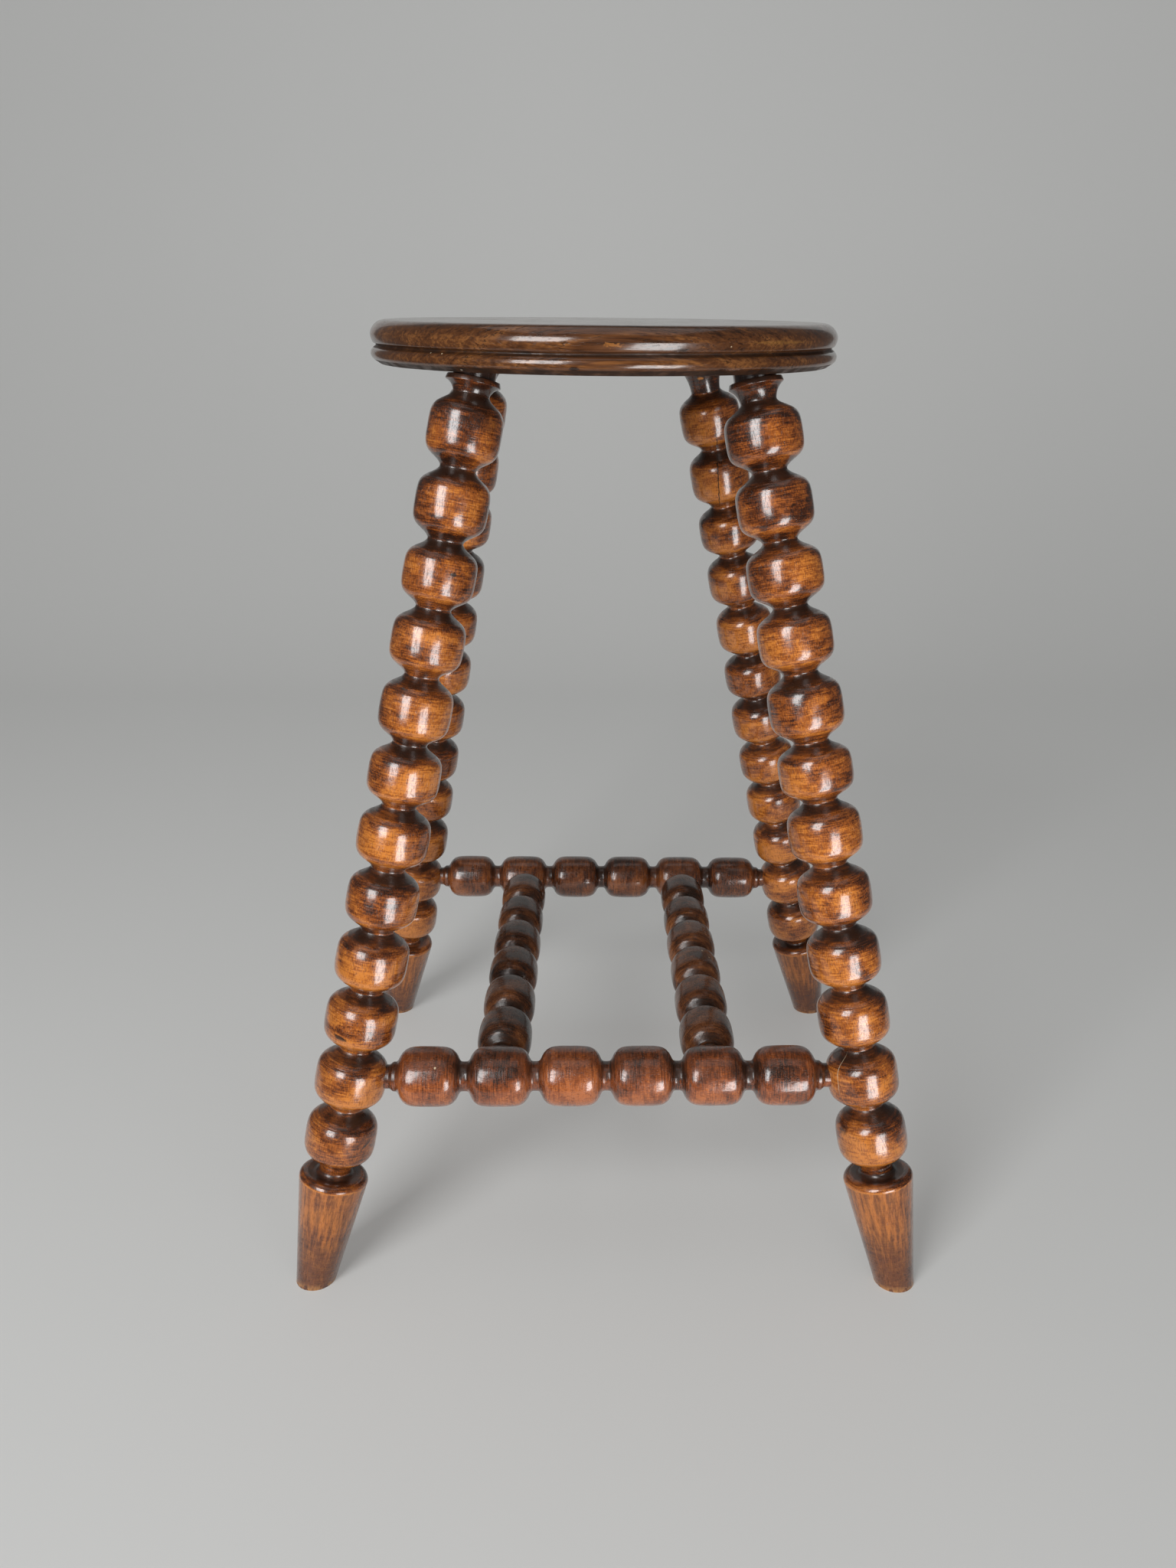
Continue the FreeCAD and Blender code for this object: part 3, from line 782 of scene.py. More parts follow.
@dataclass(frozen=True)
class SeatFinish(Finish):
    """Dark brown open-grained wood, with the board's grain running left to right.

    The growth rings are those of a log whose heart lies far below the board and nearly level,
    so that the top shows long arches, the front of the rim long streaks and its sides end
    grain. Pores are dashes along the grain.
    """

    name: str = "seat varnish"
    gloss: float = 0.18
    coat: float = 0.80
    specular: float = 0.30
    coat_roughness: float = 0.11
    relief: float = 0.00012
    blemishes: tuple[Blemish, ...] = (
        Blemish(-88.2, 0.0158, 0.0070, 0.0016, Tint.ORANGE, 0.35, 0.0, 0.0080, 0.1495),
        Blemish(-48.0, 0.0172, 0.0270, 0.0012, Tint.GOLD, 0.25, 0.0, 0.0035, 0.1490),
        Blemish(-131.7, 0.0098, 0.0004, 0.0004, Tint.CREAM, 0.9, 0.0, 0.0002, 0.1490),
        Blemish(-128.1, 0.0097, 0.0005, 0.0004, Tint.CREAM, 0.9, 0.0, 0.0002, 0.1490),
        Blemish(-62.1, 0.0154, 0.0005, 0.0004, Tint.CREAM, 0.8, 0.0, 0.0002, 0.1495),
        Blemish(-96.2, 0.0038, 0.0038, 0.0010, Tint.BLACK, 0.9, 0.0, 0.0015, 0.1485),
        Blemish(-30.6, 0.0240, 0.0050, 0.0022, Tint.BLACK, 0.75, 0.0, 0.0030, 0.1450),
    )
    dark: Triple = (0.018, 0.007, 0.003)
    middle: Triple = (0.080, 0.028, 0.009)
    light: Triple = (0.190, 0.074, 0.021)
    # Painted shade in the groove and on the chamfer
    grime_and_shade: Triple = (0.008, 0.004, 0.002)
    dust: Triple = (0.55, 0.50, 0.42)
    heart: Triple = (0.35, -0.02, -0.145)
    offset: ClassVar[float] = -0.08
    # edge: lighter at the fullest of the beads, as wear and as a painted highlight
    figure: ClassVar[Weights] = {"rings": 0.40, "streaks": 0.42, "clouds": 0.28, "edge": 0.16}
    bumps: ClassVar[Weights] = {"pores": -1.0, "streaks": 0.5, "ripple": 1.2}
    cover: ClassVar[Weights] = {"pores": 0.75, "grime_and_shade": 0.8, "dust": 0.5}
    heart_lean: ClassVar[float] = 0.045
    wander: ClassVar[Triple] = (0.0, 0.014, 0.014)
    pore_scale: ClassVar[Triple] = (95.0, 1250.0, 1250.0)

    def growth_rings(self, desk: NodeDesk, place: Socket) -> Socket:
        """Give noise of the distance from the log's heart, which leans and wanders a little."""
        wander = desk.noise(place, (3.0, 14.0, 14.0), 3.0, output="Color")
        moved = desk.vector("ADD", place, desk.vector("MULTIPLY", wander, self.wander))
        local = desk.stretch(moved, (self.heart_lean, 1.0, 1.0), self.heart)
        away = desk.add("ShaderNodeCombineXYZ", {0: desk.vector("LENGTH", local)})
        return desk.noise(away.outputs[0], 420.0, 3.0, 0.6)

    def draw(self, desk: NodeDesk, place: Socket, state: Socket, form: Socket) -> Coating:
        """Lay growth rings, streaks, pores, painted shade, dust and marks on one another."""
        rings = self.growth_rings(desk, place)
        streaks = desk.noise(place, (13.0, 600.0, 600.0), 4.0, 0.62, 0.25)
        clouds = desk.stretch(place, (6.0, 34.0, 60.0), (3.1, 0.4, 1.7))
        clouds = desk.noise(clouds, 1.0, 4.0, 0.62, 0.7)
        pores = PORES.use(desk, place, Scale=self.pore_scale, Level=0.43)
        # Painted shade in the groove and on the chamfer
        grime_and_shade = GRIME_AND_SHADE.use(desk, place, State=state, Ledge=0.0, Neck=1.0)
        specks = SPECKS.use(desk, place, Scale=150.0, Rarity=0.985)
        early = desk.rise(rings, 0.50, 0.62)
        pores = desk.times(pores, desk.rise(early, 0.0, 1.0, 0.35, 1.0))

        figure = desk.weigh(
            self.figure,
            rings=desk.rise(rings, *NOISE_SPAN),
            streaks=desk.rise(streaks, *NOISE_SPAN),
            clouds=desk.rise(clouds, 0.36, 0.64),
            edge=desk.parts(form)[2],
        )
        level = desk.plus(figure, self.offset)
        layers = [
            (desk.rise(level, 0.0, 0.55), self.middle),
            (desk.rise(level, 0.5, 1.05), self.light),
            (desk.times(pores, self.cover["pores"]), self.dark),
            (desk.times(grime_and_shade, self.cover["grime_and_shade"]), self.grime_and_shade),
            (desk.times(specks, self.cover["dust"], desk.parts(state)[0]), self.dust),
            *self.marks(desk, place),
        ]
        ripple = desk.noise(place, 60.0)
        height = desk.weigh(self.bumps, pores=pores, streaks=streaks, ripple=ripple)
        dull = desk.rise(desk.noise(place, 35.0, 3.0, 0.6), 0.35, 0.7, 0.0, 0.10)
        rough = desk.plus(self.gloss, dull, desk.times(grime_and_shade, 0.35))
        coat = desk.times(desk.rest(grime_and_shade), desk.rest(pores), self.coat)
        return Coating(desk.cover(self.dark, layers), rough, height, coat)


# ---------------------------------------------------------------- turnings


@dataclass(frozen=True)
class RowState:
    """Values for the finish, one for each row of a turning or one for all.

    Attributes:
        hollow: 0 where the turning is fullest and 1 at a neck.
        tone: how much lighter the stain is.
        share: how far the row is from its bobbin's middle, or below 0 how far down the foot.
        bare: how far the varnish is gone.
        edge: how far an edge is lighter, as wear and as a painted highlight.
    """

    hollow: Array
    tone: Array | float = 0.0
    share: Array | float = 0.0
    bare: Array | float = 0.0
    edge: Array | float = 0.0

    def spread(self, columns: int) -> list[Array]:
        """Give each value at every vertex. A pole takes what the row beside it has."""
        rows = [value * np.ones_like(self.hollow) for value in vars(self).values()]
        return [np.concatenate([v[:1], np.repeat(v, columns), v[-1:]]) for v in rows]


@dataclass
class Turning:
    """A turned piece about its own axis.

    A vertex is at start + axis * height + radius * (cos a * front + sin a * side), where a runs
    round the axis from the side that faces the front.

    Attributes:
        node: the solid that this piece stands for.
        slot: the record's material slot; not used.
        finish: the wood's finish.
        start: the origin of the piece's own frame.
        end: a point that its axis runs towards.
        columns: how many faces go round it.
        step: the longest distance between rows of faces.
        bend: degrees that the outline turns between rows.
        seed: seed of the small differences between its bobbins.
    """

    node: str
    slot: str
    finish: Finish
    start: Array
    end: Array
    columns: int = 108
    step: float = 0.0026
    bend: float = 10.0
    seed: int = 1

    @property
    def axes(self) -> Array:
        """Rows: the direction to the front (up, if it runs to the back), the side, the axis."""
        axis = unit(self.end - self.start)
        runs_back = abs(axis[1]) > 0.7
        front = np.array([0.0, 0.0, 1.0] if runs_back else [0.0, -1.0, 0.0])
        front = unit(front - axis * (front @ axis))
        return np.stack([front, np.cross(axis, front), axis])

    @property
    def length(self) -> float:
        """Distance from its start to its end."""
        return float(np.linalg.norm(self.end - self.start))

    def section(self) -> HalfSection:
        """Draw the half section."""
        raise NotImplementedError

    def state(self, radius: Array, height: Array) -> RowState:
        """Give the rows' values for the finish."""
        raise NotImplementedError

    def shaped(self, radius: Array, height: Array, angle: Array) -> tuple[Array, Array]:
        """Give each vertex's radius and height, from its row's and its angle."""
        return radius * np.ones_like(angle), height * np.ones_like(angle)

    def build(self) -> None:
        """Make the mesh, dress it, hide the solid it stands for and attach it under the root."""
        rows = self.section().rows(self.step, self.bend)
        angle = np.linspace(0.0, 2.0 * np.pi, self.columns, endpoint=False)[None, :]
        radius, height = self.shaped(rows[:, :1], rows[:, 1:], angle)
        place = np.stack([radius * np.cos(angle), radius * np.sin(angle), height], axis=-1)
        poles = place[[0, -1], 0] * (0.0, 0.0, 1.0)
        place = np.concatenate([poles[:1], place[1:-1].reshape(-1, 3), poles[1:]])
        mesh = self.mesh_of(place, len(rows) - 2)

        values = self.state(rows[1:-1, 0], rows[1:-1, 1])
        hollow, tone, share, bare, edge = values.spread(self.columns)
        self.carry(mesh, "place", *place.T)
        self.carry(mesh, "state", hollow, self.rises(mesh), tone)
        self.carry(mesh, "form", share, bare, edge)

        piece = bpy.data.objects.new(f"{self.node}_turned", mesh)
        bpy.context.scene.collection.objects.link(piece)
        mesh.materials.append(self.finish.build())
        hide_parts(self.node)
        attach(piece, "root")
        LOG.info("%s: %d rows of %d faces", piece.name, len(rows) - 1, self.columns)

    def mesh_of(self, place: Array, count: int) -> bpy.types.Mesh:
        """Join rows of vertices between two poles into a closed skin.

        Vertex 0 is the first pole, the next columns are the first row, and so on. Each quad
        goes round before it goes up, so that it faces outwards, and a fan closes each end.
        """
        points = self.start + place @ self.axes
        points[:, 2] = np.maximum(points[:, 2], 0.0)
        wide = self.columns
        here = 1 + np.arange(count * wide).reshape(count, wide)
        on = np.roll(here, -1, axis=1)
        quads = np.stack([here[:-1], on[:-1], on[1:], here[1:]], axis=-1).reshape(-1, 4)
        first, last = np.zeros(wide, int), np.full(wide, len(points) - 1)
        fans = [
            *np.stack([first, on[0], here[0]], axis=-1).tolist(),
            *np.stack([last, here[-1], on[-1]], axis=-1).tolist(),
        ]
        mesh = bpy.data.meshes.new(f"{self.node}_skin")
        mesh.from_pydata(points.tolist(), [], quads.tolist() + fans)
        mesh.shade_smooth()
        mesh.validate()
        return mesh

    @staticmethod
    def rises(mesh: bpy.types.Mesh) -> Array:
        """Read how far the surface faces up at each vertex, from -1 to 1."""
        found = np.zeros(len(mesh.vertices) * 3, np.float32)
        mesh.vertex_normals.foreach_get("vector", found)
        return found[2::3]

    @staticmethod
    def carry(mesh: bpy.types.Mesh, name: str, *values: Array) -> None:
        """Store three values at each vertex as a vector under a name."""
        layer = mesh.attributes.new(name, "FLOAT_VECTOR", "POINT")
        layer.data.foreach_set("vector", np.stack(values, axis=1).astype(np.float32).ravel())


@dataclass
class Seat(Turning):
    """The round seat, with a bullnose bead over a smaller bead and a groove between them."""

    diameter: float = 0.300
    top_flat_diameter: float = 0.2796
    underside_diameter: float = 0.2880
    chamfer_height: float = 0.0028
    lower_bead_height: float = 0.0100
    groove_height: float = 0.0026
    groove_depth: float = 0.0034
    shrink: Point = (0.9998, 0.9990)
    columns: int = 360
    step: float = 0.004

    def section(self) -> HalfSection:
        """Draw the rim from the middle of the underside to the middle of the top."""
        rim, flat, under = (
            d / 2 for d in (self.diameter, self.top_flat_diameter, self.underside_diameter)
        )
        low, high = self.lower_bead_height, self.lower_bead_height + self.groove_height
        top, groove = PLAN.seat_thickness, self.groove_depth
        nose = top - high
        widest = high + nose * 0.40
        section = HalfSection(0.0, 0.0)
        section.lines((under, 0.0), (under + (rim - under) * 0.72, self.chamfer_height))
        section.arc(
            (rim, self.chamfer_height + (low - self.chamfer_height) * 0.38),
            (rim - groove * 0.65, low),
        )
        section.lines(
            (rim - groove, low + self.groove_height * 0.35),
            (rim - groove, low + self.groove_height * 0.70),
            (rim - groove * 0.47, high),
        )
        section.arc((rim - groove * 0.125, high + nose * 0.19), (rim, widest))
        section.arc((rim - (rim - flat) * 0.336, widest + (top - widest) * 0.715), (flat, top))
        section.lines((0.0, top))
        return section

    @property
    def axes(self) -> Array:
        """Rows: the seat's own X, Y and Z, which lean with it."""
        return PLAN.seat_turning.T

    def shaped(self, radius: Array, height: Array, angle: Array) -> tuple[Array, Array]:
        """Keep it true, and a hair smaller than the board."""
        radii, heights = super().shaped(radius, height, angle)
        return radii * self.shrink[0], heights * self.shrink[1]

    def state(self, radius: Array, height: Array) -> RowState:
        """Mark the groove and the chamfer as hollow, for painted shade, and the fullest of the
        beads as worn and as a painted highlight.
        """
        rim = self.diameter / 2
        middle = self.lower_bead_height + self.groove_height * 0.5
        hollow = ease(np.abs(height - middle), self.groove_height * 1.1, 0.0)
        hollow = np.maximum(hollow, ease(height, self.chamfer_height * 1.5, self.chamfer_height))
        hollow = hollow * ease(radius, rim - 0.012, rim - 0.008)
        return RowState(hollow, edge=ease(radius, rim - 0.0012, rim))


@dataclass
class Bobbined(Turning):
    """A turning with a row of bobbins."""

    shape: BobbinShape = LEG_BOBBIN
    count: int = 12
    diameter: float = 0.0464
    narrowing: float = 0.0
    neck_diameter: float = 0.0214
    shifts: tuple[float, ...] = ()
    uneven: float = 0.00035
    tones: float = 0.28

    def row_ends(self) -> Point:
        """Give the heights where the row of bobbins would start and end if it were even."""
        raise NotImplementedError

    def necks(self) -> Array:
        """Give the heights of the necks, each shifted a little as listed."""
        even = np.linspace(*self.row_ends(), self.count + 1)
        return even + (np.array(self.shifts) if self.shifts else 0.0)

    def draw_bobbins(self, section: HalfSection) -> None:
        """Draw the row, whose bobbins get slowly smaller and differ a little."""
        loose = np.random.default_rng(self.seed).uniform(-0.5, 0.5, self.count)
        radii = np.linspace(self.diameter, self.diameter - self.narrowing, self.count) / 2
        necks = self.necks()
        for number, radius in enumerate(radii + self.uneven * loose):
            self.shape.draw(
                section, radius, self.neck_diameter / 2, necks[number], necks[number + 1]
            )

    def shaped(self, radius: Array, height: Array, angle: Array) -> tuple[Array, Array]:
        """Make the bobbins faintly oval and wavy, as dried wood is.

        The radius changes by uneven * cos 2(a - lean) / 4, where lean drifts along the axis,
        and about as much again in slow waves.
        """
        lean = self.seed + 9.0 * height
        oval = 0.25 * np.cos(2.0 * (angle - lean))
        waves = 0.12 * np.cos(3.0 * angle + 70.0 * height + self.seed)
        waves = waves + 0.10 * np.cos(5.0 * angle - 160.0 * height)
        return radius + self.uneven * (oval + waves), height * np.ones_like(angle)

    def bobbin_values(self, height: Array) -> tuple[Array, Array]:
        """Give how far each row is from its bobbin's middle, and its tone."""
        necks = self.necks()
        number = np.interp(height, necks, np.arange(self.count + 1.0))
        number = np.clip(number, 0.0, self.count - 1e-6)
        share = np.abs(2.0 * (number % 1.0) - 1.0)
        tones = np.random.default_rng(self.seed + 50).uniform(-1.0, 1.0, self.count)
        tone = tones[number.astype(int)] * self.tones * (1.0 - ease(share, 0.8, 1.0))
        inside = (height >= necks[0]) & (height <= necks[-1])
        return np.where(inside, share, 0.0), tone

    def hollow_of(self, radius: Array) -> Array:
        """Give 0 at the fullest radius and 1 at a neck."""
        return ease(radius, self.diameter / 2, self.neck_diameter / 2)


@dataclass
class Leg(Bobbined):
    """A leg: tenon, lip and cove, twelve bobbins and a tapered foot sawn level at the floor.

    Its start is on the floor and its end in the plane of the seat's underside. Its colour gets
    darker by fade per metre up, is even at even_height, and is darker on the foot's bead and on
    the tenon. The collar over the bobbins is darker too, as the seat's painted shadow.
    """

    tenon_diameter: float = 0.025
    tenon_length: float = 0.019
    lip_diameter: float = 0.0326
    lip_edge: float = 0.003
    row_drop: float = 0.0209
    foot_neck: float = 0.0066
    ring_diameter: float = 0.0374
    rim_diameter: float = 0.0454
    rim_drop: float = 0.0042
    foot_height: float = 0.0762
    tip_diameter: float = 0.024
    sole_allowance: float = 0.008
    sole_shrink: ClassVar[float] = 0.00003
    fade: ClassVar[float] = 1.9
    even_height: ClassVar[float] = 0.30
    bead_dark: ClassVar[float] = 0.15
    # Painted shadow of the seat on the collar over the bobbins
    collar_shadow: ClassVar[float] = 0.8
    tenon_dark: ClassVar[float] = 1.2
    dish_hollow: ClassVar[float] = 0.45

    def row_ends(self) -> Point:
        """The row starts over the foot's neck and ends a set drop below the seat's level."""
        first = self.foot_height + self.rim_drop + self.foot_neck
        level = self.length * PLAN.underside / self.end[2]
        return first, level - self.row_drop

    @property
    def lip_height(self) -> float:
        """Height of the lip's top, whose outer edge reaches the seat."""
        normal = PLAN.seat_turning[:, 2]
        lean = np.sqrt((1.0 / (self.axes[2] @ normal)) ** 2 - 1.0)
        return self.length - self.lip_diameter / 2 * lean - PLAN.tenon_clearance

    def section(self) -> HalfSection:
        """Draw the leg from the sole up."""
        neck, ring, rim = (
            d / 2 for d in (self.neck_diameter, self.ring_diameter, self.rim_diameter)
        )
        first, last = self.necks()[[0, -1]]
        top = self.foot_height + self.rim_drop
        section = HalfSection(0.0, -self.sole_allowance)
        section.lines((self.tip_diameter / 2, -self.sole_allowance), (rim, self.foot_height))
        section.arc((ring + (rim - ring) * 0.72, top - self.rim_drop * 0.32), (ring, top))
        ring_start = neck + (ring - neck) * 0.33
        dish = top - self.rim_drop * 0.12
        neck_end = dish + (first - dish) * 0.72
        section.lines((ring_start, dish))
        section.arc(
            (neck + (ring_start - neck) * 0.10, dish + (neck_end - dish) * 0.25), (neck, neck_end)
        )
        section.lines((neck, first))
        self.draw_bobbins(section)
        lip, tenon = self.lip_diameter / 2, self.tenon_diameter / 2
        lip_low = self.lip_height - self.lip_edge
        section.arc((neck + (lip - neck) * 0.20, last + (lip_low - last) * 0.45), (lip, lip_low))
        lip_top, tip = self.lip_height, self.length + self.tenon_length
        section.lines((lip * 0.95, lip_top), (tenon, lip_top), (tenon, tip), (0.0, tip))
        return section

    def taper(self, height: Array) -> Array:
        """Give the radius of the foot's straight taper at a height."""
        share = (height + self.sole_allowance) / (self.foot_height + self.sole_allowance)
        return self.tip_diameter / 2 + (self.rim_diameter - self.tip_diameter) / 2 * share

    def shaped(self, radius: Array, height: Array, angle: Array) -> tuple[Array, Array]:
        """Keep the foot true, and end it at the floor.

        On the taper a row's height is moved so that the lowest row lies on the floor all round.
        The floor cuts the taper where its height times the axis's rise, plus its radius times
        the radial direction's rise, is zero. Rows below that close the sole.
        """
        radii, heights = super().shaped(radius, height, angle)
        rim_row = height[:, 0] < self.foot_height
        low, slope = self.taper(0.0), self.taper(1.0) - self.taper(0.0)
        rise = np.cos(angle) * self.axes[0, 2] + np.sin(angle) * self.axes[1, 2]
        floor = -low * rise / (self.axes[2, 2] + slope * rise)
        sole = rim_row & (radius[:, 0] < self.tip_diameter / 2 - 1e-5)
        cone = rim_row & ~sole
        share = (self.foot_height - height[cone]) / (self.foot_height + self.sole_allowance)
        share = np.clip(share / share.max(), 0.0, 1.0)
        heights[cone] = self.foot_height - (self.foot_height - floor) * share
        radii[cone] = self.taper(heights[cone]) - self.sole_shrink * share
        inward = radius[sole] / (self.tip_diameter / 2)
        heights[sole] = floor * inward
        radii[sole] = (self.taper(floor) - self.sole_shrink) * inward
        foot = ~rim_row & (height[:, 0] < self.necks()[0])
        radii[foot] = radius[foot]
        return radii, heights

    def state(self, radius: Array, height: Array) -> RowState:
        """Mark the sole's edge as bare, the foot's rim as worn and as a painted highlight, its top
        as dark with the seat's painted shadow and the tenon as dark.
        """
        share, tone = self.bobbin_values(height)
        tenon = (height > self.lip_height - 1e-5) & (radius < self.tenon_diameter / 2 + 1e-4)
        sole = ease(height, -self.sole_allowance * 0.2, -self.sole_allowance) * 0.7
        # The foot's rim is drawn lighter, as wear and as a painted highlight
        rim = np.exp(-(((height - self.foot_height) / 0.0006) ** 2))
        first, last = self.necks()[[0, -1]]
        bead = ease(height, self.foot_height, self.foot_height + 0.0012) * (height < first)
        dish = bead * (radius < self.ring_diameter / 2 - 0.0004)
        # The collar's darkening is the seat's painted shadow
        dark = self.bead_dark * bead + self.collar_shadow * (height > last) + self.tenon_dark * tenon
        foot = height < self.foot_height
        hollow = self.hollow_of(radius) * ~foot
        down = 0.03 + 0.97 * np.clip(1.0 - height / self.foot_height, 0.0, 1.0)
        return RowState(
            hollow=np.maximum(hollow, self.dish_hollow * dish),
            tone=tone + self.fade * (self.even_height - height) - dark,
            share=np.where(foot, -down, share),
            bare=np.where(foot, sole, 0.0),
            edge=rim,
        )


@dataclass
class Rail(Bobbined):
    """A stretcher: a tenon at each end and a row of bobbins between them.

    Its start and end are on the axes of the pieces that carry it.
    """

    shape: BobbinShape = RAIL_BOBBIN
    count: int = 6
    diameter: float = 0.0387
    neck_diameter: float = 0.0190
    end_neck: float = 0.0052
    tenon_diameter: float = 0.0154
    tenon_depth: float = 0.014
    reach_start: float = 0.0224
    reach_end: float = 0.0224
    columns: int = 96
    step: float = 0.0022
    uneven: float = 0.0003
    tones: float = 0.14

    def row_ends(self) -> Point:
        """The row stands clear of both carriers by the end necks."""
        return self.reach_start + self.end_neck, self.length - self.reach_end - self.end_neck

    def section(self) -> HalfSection:
        """Draw the stretcher from tenon to tenon."""
        first, last = self.row_ends()
        tenon, neck, taper = self.tenon_diameter / 2, self.neck_diameter / 2, self.end_neck * 0.45
        low = self.reach_start - self.tenon_depth
        high = self.length - self.reach_end + self.tenon_depth
        section = HalfSection(0.0, low)
        section.lines((tenon, low), (tenon, first - taper), (neck, first))
        self.draw_bobbins(section)
        section.lines((tenon, last + taper), (tenon, high), (0.0, high))
        return section

    def state(self, radius: Array, height: Array) -> RowState:
        """Mark the necks as hollow."""
        share, tone = self.bobbin_values(height)
        return RowState(self.hollow_of(radius), tone, share)


# ---------------------------------------------------------------- the stool


@dataclass(frozen=True)
class LegPlan:
    """What sets one leg apart from the others.

    Attributes:
        node: the solid that it stands for.
        side: -1 for left, 1 for right.
        depth: -1 for front, 1 for back.
        seed: seed of its small differences.
        sway: how far its top is off to the right.
        shifts_mm: how far each neck is above its even place, from the foot up, in millimetres.
        blemishes: its marks.
        widths: diameters of its lowest and highest bobbin.
        lip: diameter of the lip under the seat.
        pale: how much lighter its stain is.
    """

    node: str
    side: int
    depth: int
    seed: int
    sway: float
    shifts_mm: tuple[float, ...]
    blemishes: tuple[Blemish, ...] = ()
    widths: Point = (0.0464, 0.0437)
    lip: float = 0.0326
    pale: float = 0.03


LEGS = (
    LegPlan(
        "leg_front_left", -1, -1, 3, -0.0003,
        (0, 0.5, 1, 1, 1, 1, 1, 0, 1.5, 2, 1.5, 3, 5),
        (
            Blemish(26.6, 0.4812, 0.0024, 0.0018),
            Blemish(38.0, 0.5700, 0.0130, 0.0075, Tint.BLACK, 0.45, 0.0, 0.0080),
            Blemish(-24.0, 0.1838, 0.0058, 0.0017, Tint.BLACK, 0.90, -8.0),
            Blemish(52.0, 0.1106, 0.0056, 0.0010, Tint.BLACK, 0.90, 35.0),
            Blemish(26.8, 0.1359, 0.0030, 0.0010, Tint.RED, 0.80),
        ),
    ),
    LegPlan(
        "leg_front_right", 1, -1, 8, 0.0012,
        (-0.5, 1, 1, 1.5, 1.5, 1.5, 2, -1, 1, 1, -0.5, 0, -0.5),
        (
            Blemish(-50.0, 0.1580, 0.0004, 0.0170, Tint.CREAM, 0.50, -2.0, 0.0004),
            Blemish(-59.5, 0.1190, 0.0050, 0.0035, Tint.BLACK, 0.55, 20.0, 0.0050),
            Blemish(64.5, 0.5640, 0.0060, 0.0035, Tint.BLACK, 0.50, -25.0, 0.0060),
        ),
        (0.0455, 0.0461),
        0.0326,
        -0.01,
    ),
    LegPlan(
        "leg_back_left", -1, 1, 13, 0.0005,
        (0.5, 0.5, 0.5, 3, 1, 0.5, 0.5, 1.5, 1, 2.5, 3, 5.5, 6.5),
    ),
    LegPlan(
        "leg_back_right", 1, 1, 21, -0.0026,
        (-4, -3, -2, -1, -2.5, -4.5, -4, -6, -5, -3.5, -4.5, -1.5, 0),
        (
            Blemish(-7.0, 0.5220, 0.0006, 0.0480, Tint.BLACK, 0.85, -7.0, 0.0016),
            Blemish(-14.5, 0.5905, 0.0035, 0.0016, Tint.ORANGE, 0.90),
        ),
        (0.0460, 0.0448),
        0.0310,
        0.09,
    ),
)

# What sets the front (-1) and the back (1) stretcher apart
RAILS = {
    -1: {
        "dark": (0.105, 0.028, 0.009),
        "middle": (0.215, 0.055, 0.015),
        "light": (0.370, 0.108, 0.029),
        "blemishes": (
            Blemish(-48.3, 0.0567, 0.0009, 0.0009, Tint.CREAM, 0.9, 0.0, 0.0004, 0.0197),
            Blemish(-40.7, 0.0988, 0.0004, 0.0060, Tint.BLACK, 0.7, 25.0, 0.0004, 0.0197),
        ),
    },
    # The back stretcher's colours are darker than the front's: painted shade, as the light falls
    # off towards the back
    1: {
        "dark": (0.070, 0.020, 0.007),
        "middle": (0.175, 0.050, 0.014),
        "light": (0.300, 0.095, 0.026),
    },
}
CROSS_BLEMISHES = (
    Blemish(16.2, 0.1429, 0.0009, 0.0008, Tint.CREAM, 0.9, 0.0, 0.0004, 0.0183),
    Blemish(32.4, 0.1357, 0.0008, 0.0011, Tint.CREAM, 0.9, 0.0, 0.0004, 0.0183),
)


